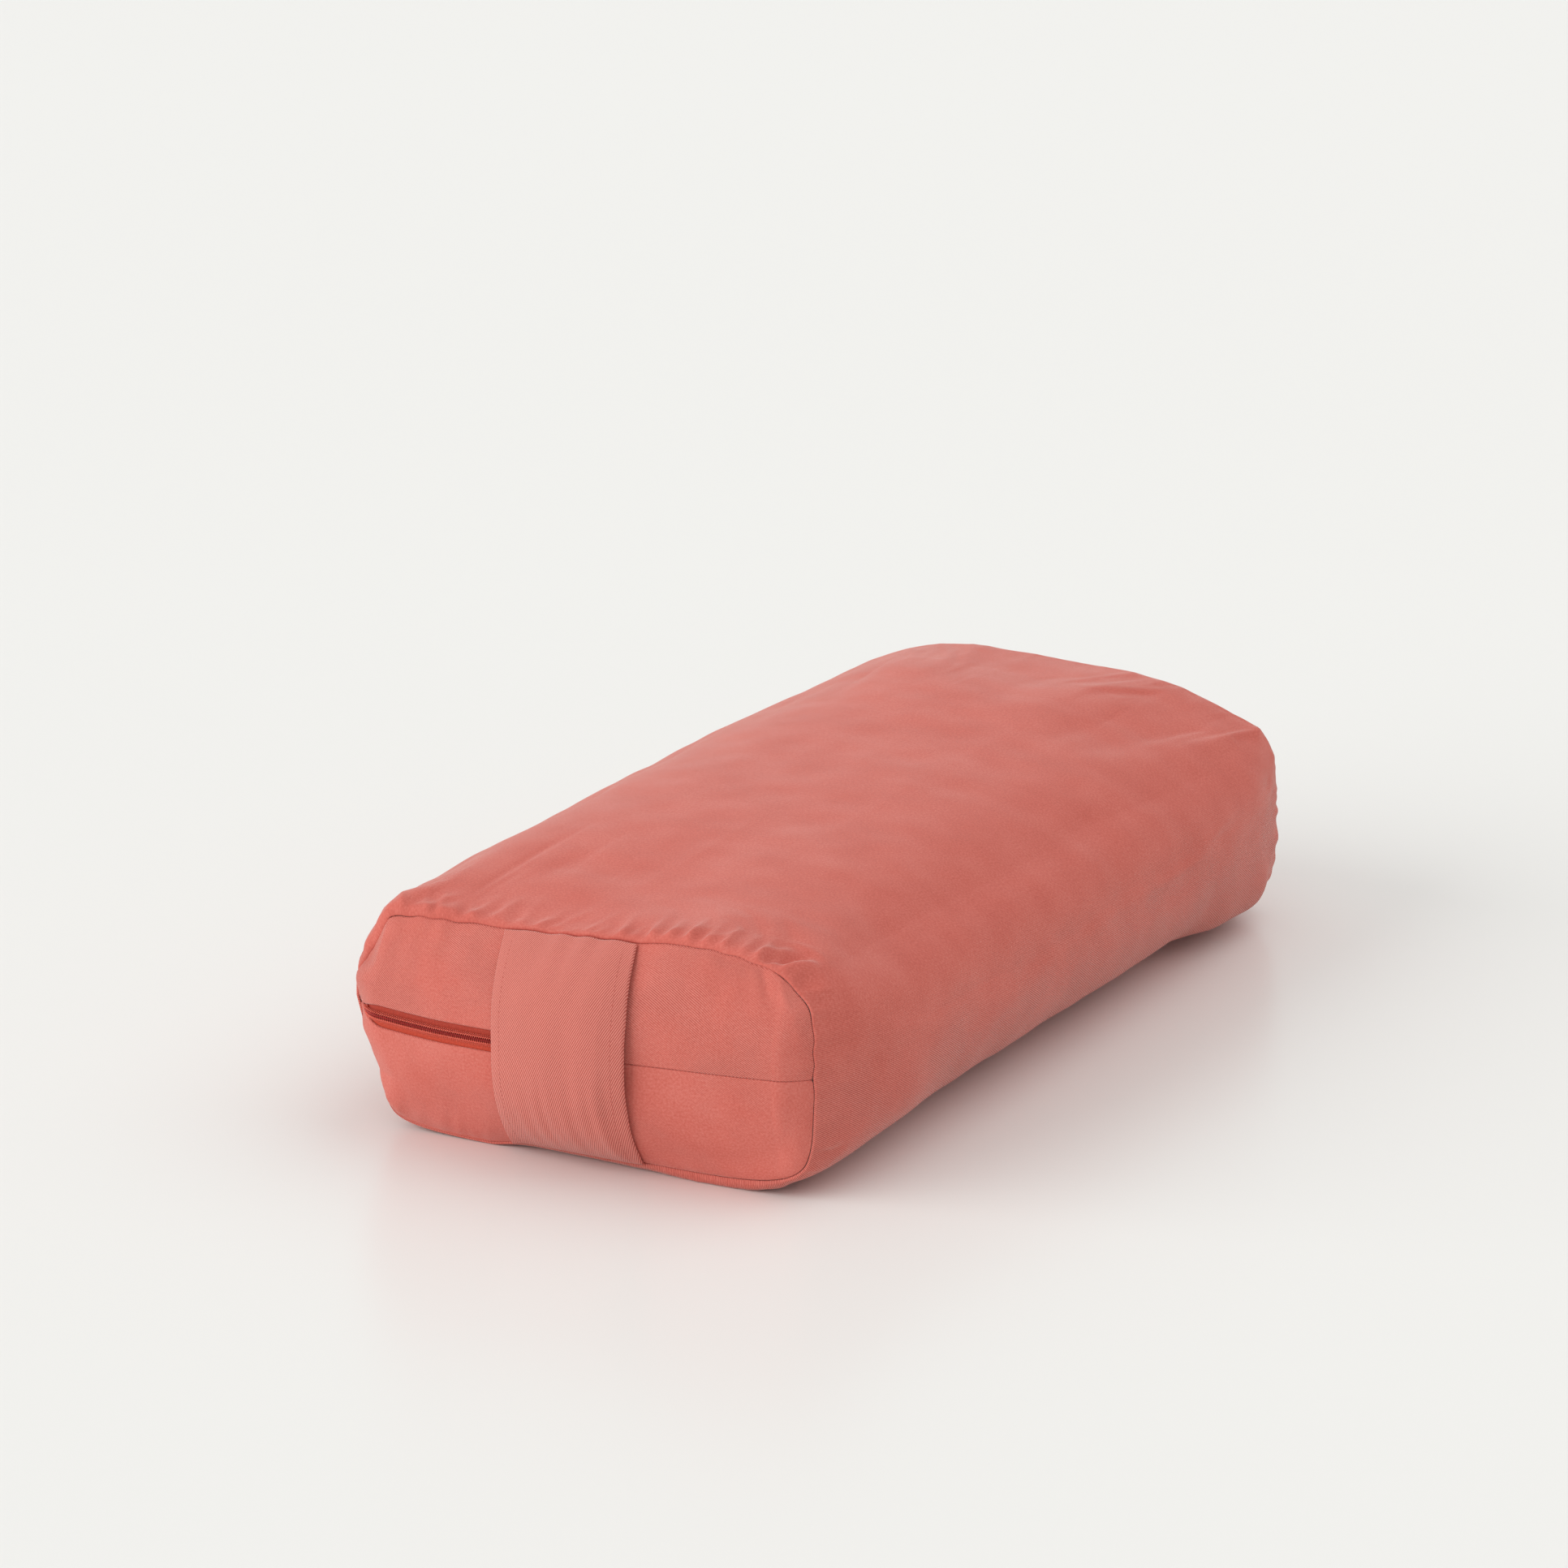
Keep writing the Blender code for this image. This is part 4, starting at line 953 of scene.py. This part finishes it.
def zip_point(along, side, offset, depth):
    """Point at a length along the zip, an offset beside it and a depth out of it."""
    parting = MOUTH * ramp(along, MOUTH_FROM, MOUTH_TO)
    x = np.interp(along, PATH_LENGTH, PATH_X)
    return settle(face_point(x, ZIP_Z + side * (offset + parting), depth))


print("zip runs", round(float(STOPS_FROM - CHAIN_FROM), 3), "m")

# %% [markdown]
# The tape is a tight narrow weave, dyed a clear orange red. The nylon of the coil is
# darker and glossier, and the thread over it catches the light.

# %% Zip materials


def tape_material(name, deep, pale):
    """Woven tape: fine cross ribs with a noise of single threads."""
    material, tree, shader = new_material(name)
    uv = node(tree, "ShaderNodeUVMap", uv_map="cloth").outputs["UV"]
    ribs = bands(tree, uv, 0.0007, 0, 0.4)
    lines = bands(tree, uv, 0.0009, 90, 0.6)
    height = maths(tree, "ADD", ribs, maths(tree, "MULTIPLY", lines, 0.6))
    tone = maths(tree, "ADD", maths(tree, "MULTIPLY", height, 0.45), noise(tree, uv, 900, 3))
    colour = mix_colour(tree, spread(tree, tone, 0.4, 1.4, 0, 1), deep, pale)
    surface(tree, shader, colour, height, 0.6, 0.0002)
    fill_inputs(tree, shader, Roughness=0.7, Sheen_Weight=0.1)
    return material


def plain_finish(name, deep, pale, roughness, grain=1500, bump_depth=0.00003):
    """One finish with a fine noise in its colour, roughness and surface."""
    material, tree, shader = new_material(name)
    place = node(tree, "ShaderNodeTexCoord").outputs["Object"]
    value = noise(tree, place, grain, 3)
    colour = mix_colour(tree, spread(tree, value, 0.3, 0.7, 0, 1), deep, pale)
    surface(tree, shader, colour, value, 0.5, bump_depth)
    rough = spread(tree, value, 0.3, 0.7, roughness + 0.06, roughness - 0.06)
    fill_inputs(tree, shader, Roughness=rough)
    return material


# The tape above the coil gets a darker copy of the tape's colour: painted shade from the folded cloth that
# hangs over it. The tape below keeps the lit colour.
tape_painted_shade = tape_material("zip_tape_weave_painted_shade", (0.34, 0.028, 0.016), (0.58, 0.070, 0.036))
tape_bright = tape_material("zip_tape_weave_below", (0.44, 0.036, 0.017), (0.74, 0.095, 0.042))
coil_nylon = plain_finish("coil_nylon", (0.34, 0.018, 0.016), (0.50, 0.042, 0.034), 0.35)
zip_thread = plain_finish("zip_thread", (0.66, 0.085, 0.055), (0.86, 0.190, 0.130), 0.5)
seam_thread = plain_finish("seam_thread", (0.42, 0.085, 0.065), (0.58, 0.140, 0.110), 0.8)
zip_enamel = plain_finish("zip_enamel", (0.36, 0.030, 0.018), (0.52, 0.055, 0.030), 0.32, 900)
print("zip finishes ready")

# %% Zip tapes
TAPE_THICK = 0.0004
tape_along = np.linspace(PATH_LENGTH[0] + 0.0008, STOPS_FROM + 0.0143, 160)
tape_offset = millimetres(0.2, 0.6, 2.5, 4.5, 6, 7.5, 9.5, 11.4, 12)
along, offset = np.meshgrid(tape_along, tape_offset, indexing="ij")
front = TAPE_FRONT - 0.0002 * (1 - ramp(offset, 0.0002, 0.0012))
for name, side, solid, weave in (("zip_tape_above", 1, "zip_tape_upper", tape_painted_shade),
                                 ("zip_tape_below", -1, "zip_tape_lower", tape_bright)):
    face, back = (zip_point(along, side, offset, depth) for depth in (front, front - TAPE_THICK))
    uv = np.stack([along, side * offset], axis=-1)
    tape = cloth_piece(name, face, back, uv, uv, False, weave)
    fit(tape, "zip_tape", solid)

# %% [markdown]
# A repeated piece is made once as a small grid, then placed many times with one
# broadcast: a tube is a circle carried along its own path, in the plane across it.

# %% Tubes along many paths
TUBE_SIDES = 6


def tubes(name, paths, radius, material, slot, *solids):
    """A circle of the given radius carried along each path, with closed ends."""
    count, steps = paths.shape[:2]
    tangent = unit(np.gradient(paths, axis=1))
    guide = np.where(np.abs(tangent[..., 2:]) > 0.9, [1, 0, 0], [0, 0, 1])
    first = unit(np.cross(tangent, guide))
    second = np.cross(tangent, first)
    turn = np.linspace(0, 2 * math.pi, TUBE_SIDES, endpoint=False)[:, None]
    ring = np.cos(turn) * first[:, :, None] + np.sin(turn) * second[:, :, None]
    points = paths[:, :, None] + radius * ring
    ids = np.arange(count * steps * TUBE_SIDES).reshape(count, steps, TUBE_SIDES)
    ids = np.concatenate([ids, ids[:, :, :1]], axis=2)
    cells = [ids[:, :-1, :-1], ids[:, :-1, 1:], ids[:, 1:, 1:], ids[:, 1:, :-1]]
    quads = np.stack(cells, axis=-1).reshape(-1, 4)
    faces = quads.tolist() + ids[:, 0, :-1][:, ::-1].tolist() + ids[:, -1, :-1].tolist()
    mesh = bpy.data.meshes.new(name)
    mesh.from_pydata(points.reshape(-1, 3).tolist(), [], faces)
    mesh.shade_smooth()
    mesh.materials.append(material)
    fit(add_object(name, mesh), slot, *solids)
    print(name, count, "tubes", len(faces), "faces")


# %% Coils and the thread over them
COIL_RADIUS = 0.00027
half_turn = np.array([0.5, 0.42, 0.3, 0.26, 0.24, 0.18, 0]) * PITCH * 0.72
shift = np.concatenate([half_turn, -half_turn[-2::-1]])
coil_offset = millimetres(1.95, 2.05, 1.8, 1, 0.3, -0.2, -0.42, -0.2, 0.3, 1, 1.8, 2.05, 1.95)
coil_depth = millimetres(-0.9, -0.65, -0.4, -0.3, -0.3, -0.35, -0.6, -0.85, -0.93, -0.95, -0.95, -0.93, -0.9)
span = np.linspace(-0.42, 0.42, 5) * PITCH + PITCH / 2
slant = np.linspace(-0.00045, 0.00045, 5)
lift = millimetres(-0.36, -0.06, 0.04, -0.06, -0.36)
for name, side, solid in (("zip_teeth_above", 1, "zip_coil_upper"),
                          ("zip_teeth_below", -1, "zip_coil_lower")):
    first = CHAIN_FROM + (0 if side > 0 else PITCH / 2)
    count = int((STOPS_FROM - 0.0002 - first) / PITCH)
    middle = first + PITCH * np.arange(count)[:, None]
    loops = zip_point(middle + shift, side, coil_offset, coil_depth)
    tubes(name, loops, COIL_RADIUS, coil_nylon, "zip_coil", solid)
    for row, centre, thick in (("inner", 0.00160, 0.00034), ("outer", 0.00262, 0.00016)):
        sewn = zip_point(middle + span, side, centre + slant, lift)
        tubes(f"{name}_thread_{row}", sewn, thick, zip_thread, "zip_tape")

# %% [markdown]
# ## Stitches
# Every seam of the cover is a plain lockstitch. A stitch is a short thread that dips into
# the cloth at both ends, so it is a small tube over a shallow arch, one every 2.6 mm, or
# every 2.2 mm in the seam of the plain half.

# %% Stitch rows


def stitch_row(name, places, outwards, slot, pitch, radius, sink):
    """Arched tubes at equal steps of length along a line of surface points."""
    length = running_length(places)
    middle = (np.arange(int(length[-1] / pitch)) + 0.5) * pitch
    at = middle[:, None] + np.linspace(-0.4, 0.4, 5)[None] * pitch
    arch = np.array([-1, 0.4, 0.8, 0.4, -1]) * radius - sink
    path, out = (np.stack([np.interp(at, length, line[:, k]) for k in range(3)], axis=-1)
                 for line in (places, outwards))
    tubes(name, path + out * arch[None, :, None], radius, seam_thread, slot)


STITCH, FINE_STITCH = 0.0026, 0.0022
STITCH_INWARDS, TUCKED_BY = 0.0018, 0.004
for name, column in (("handle_stitches_left", 10), ("handle_stitches_right", 109)):
    line = handle_face[4:-4, column]
    out = unit(line - handle_back[4:-4, column])
    stitch_row(name, line, out, "handle_cloth", STITCH, 0.00015, 0.00012)
plain_x = np.linspace(SEAM_FROM + 0.002, RIM_HALF - 0.003, 200)
line, raised = (settle(face_point(plain_x, 0 * plain_x + ZIP_Z, depth)) for depth in (0, 0.001))
stitch_row("cross_seam_stitches", line, (raised - line) / 0.001, "cover_cloth", FINE_STITCH, 0.00018, 0.0004)
for name, sign in (("near_seam_stitches", -1), ("far_seam_stitches", 1)):
    line = settle(cover_surface(sign * SEAM_Y + 0 * seam_angles, seam_angles))
    line = line - unit((line - [0, 0, ZIP_Z]) * [1, 0, 1]) * STITCH_INWARDS
    line[:, 1] -= sign * TUCKED_BY * tucked_seam(line[:, 0], line[:, 2])
    stitch_row(name, line, 0 * line + [0, sign, 0], "cover_cloth", STITCH, 0.00013, 0.0004)

# %% [markdown]
# ## What is inside
# The liner bag of plain calico holds the filling. Neither shows, but both are part of the
# object, so each has its own closed form and finish, taken a little inside the cover.

# %% Liner and filling


def inner_body(name, inset, setback, material):
    """The stuffed form drawn in by inset all round and by setback at both ends."""
    places = np.concatenate([[-1] * 10, np.linspace(-1, 1, 61), [1] * 10])
    shares = np.concatenate([np.linspace(0, 0.97, 10), np.ones(61), np.linspace(0.97, 0, 10)])
    y, angle = np.meshgrid(SEAM_Y * places, seam_angles[:-1:4], indexing="ij")
    middle = np.array([0, 0, ZIP_Z])
    radial = (cover_surface(y, angle) - middle) * [1, 0, 1]
    size = np.linalg.norm(radial, axis=-1, keepdims=True)
    radial = radial / size * (size - inset) * shares[:, None, None]
    bulge = np.where(np.abs(places[:, None]) == 1, end_depth(radial[..., 0], ZIP_Z + radial[..., 2]), 0)
    points = middle + radial
    points[..., 1] = np.sign(y) * (np.minimum(np.abs(y), SEAM_Y - setback) + bulge)
    points[..., 2] = np.maximum(points[..., 2], inset)
    quads = grid_quads(numbers(points, True))
    uv = np.stack([0.0026 * (quads % points.shape[1]), 0.009 * (quads // points.shape[1])], axis=-1)
    piece = put_mesh(name, settle(points).reshape(-1, 3), quads, uv, material)
    close_pole(piece)
    return piece


calico = plain_finish("liner_calico", (0.62, 0.55, 0.44), (0.78, 0.72, 0.60), 0.9, 1200, 0.0001)
fluff = plain_finish("filling_fluff", (0.70, 0.67, 0.58), (0.88, 0.86, 0.80), 0.95, 300, 0.002)
liner = inner_body("liner_bag_cloth", 0.0066, 0.0058, calico)
fit(liner, "liner_cloth", "liner_bag")
filling = inner_body("filling_body", 0.0093, 0.0085, fluff)
fit(filling, "filling", "filling")

# %% Finishes of the solids that stay
METAL = ("zip_slider", "zip_pull", "zip_top_stop_upper", "zip_top_stop_lower", "zip_bottom_stop")
for name in METAL:
    finishes = frame["nodes"][name].data.materials
    finishes.clear()
    finishes.append(zip_enamel)
print("solids with a new finish:", len(METAL))

# %% [markdown]
# ## Floor, light and camera
# A pale, slightly glossy floor carries a soft reflection. The world is an even studio
# light. A low window on the left front lights the near end and rakes over the top, and a
# weaker one behind on the right lights the top and the long side. Both are as wide as
# windows, so shadows stay soft. Rays that look at the background see it a little brighter.

# %% Floor and world
FLOOR_COLOUR = (0.900, 0.905, 0.885)
FLOOR_HALF = 12


def make_floor():
    """A square sheet at z = 0 with a satin surface."""
    material, tree, shader = new_material("studio_floor")
    fill_inputs(tree, shader, Base_Color=(*FLOOR_COLOUR, 1), Roughness=0.26, IOR=1.29)
    corners = [(-1, -1), (1, -1), (1, 1), (-1, 1)]
    mesh = bpy.data.meshes.new("studio_floor")
    mesh.from_pydata([(FLOOR_HALF * x, FLOOR_HALF * y, 0) for x, y in corners], [], [(0, 1, 2, 3)])
    mesh.materials.append(material)
    add_object("studio_floor", mesh)


make_floor()
world = bpy.data.worlds.new("studio_light")
world.use_nodes = True
bpy.context.scene.world = world
sky = world.node_tree
seen = sky.nodes["Background"]
fill_inputs(sky, seen, Color=(0.875, 0.872, 0.855, 1), Strength=1)
lit = node(sky, "ShaderNodeBackground", Color=(1, 0.99, 0.98, 1), Strength=0.60)
path = node(sky, "ShaderNodeLightPath")
either = maths(sky, "MAXIMUM", path.outputs["Is Camera Ray"], path.outputs["Is Glossy Ray"])
choose = node(sky, "ShaderNodeMixShader")
for socket, source in zip(choose.inputs, (either, lit.outputs[0], seen.outputs[0])):
    fill(sky, socket, source)
fill_inputs(sky, sky.nodes["World Output"], Surface=choose.outputs[0])
print("floor of", 2 * FLOOR_HALF, "m and an even sky")

# %% Lamp and camera


def aim(thing, place, target):
    """Put a thing at a place, looking at a target."""
    thing.location = place
    direction = Vector(target) - Vector(place)
    thing.rotation_mode = "QUATERNION"
    thing.rotation_quaternion = direction.to_track_quat("-Z", "Y")


def soft_light(name, place, energy, width):
    """A distant lamp as wide as a window; it lights cloth but leaves no glare on the floor."""
    lamp = bpy.data.lights.new(name, "SUN")
    lamp.angle = math.radians(width)
    lamp.energy = energy
    lamp.color = (1, 0.992, 0.98)
    window = add_object(name, lamp)
    window.visible_glossy = False
    aim(window, place, (0, 0, 0.05))


soft_light("window_left", (-2.73, -2.73, 1.09), 2.20, 60)
soft_light("window_right", (1.62, 1.62, 3.28), 0.72, 60)

camera_data = bpy.data.cameras.new("camera")
camera_data.sensor_width = 36
camera_data.lens = 164.6
camera = add_object("camera", camera_data)
aim(camera, (1.7677, -3.3191, 1.2865), (-0.1175, 0.1542, 0.0723))
bpy.context.scene.camera = camera
bpy.context.scene.view_settings.view_transform = "Standard"
print("camera at", [round(v, 3) for v in camera.location])
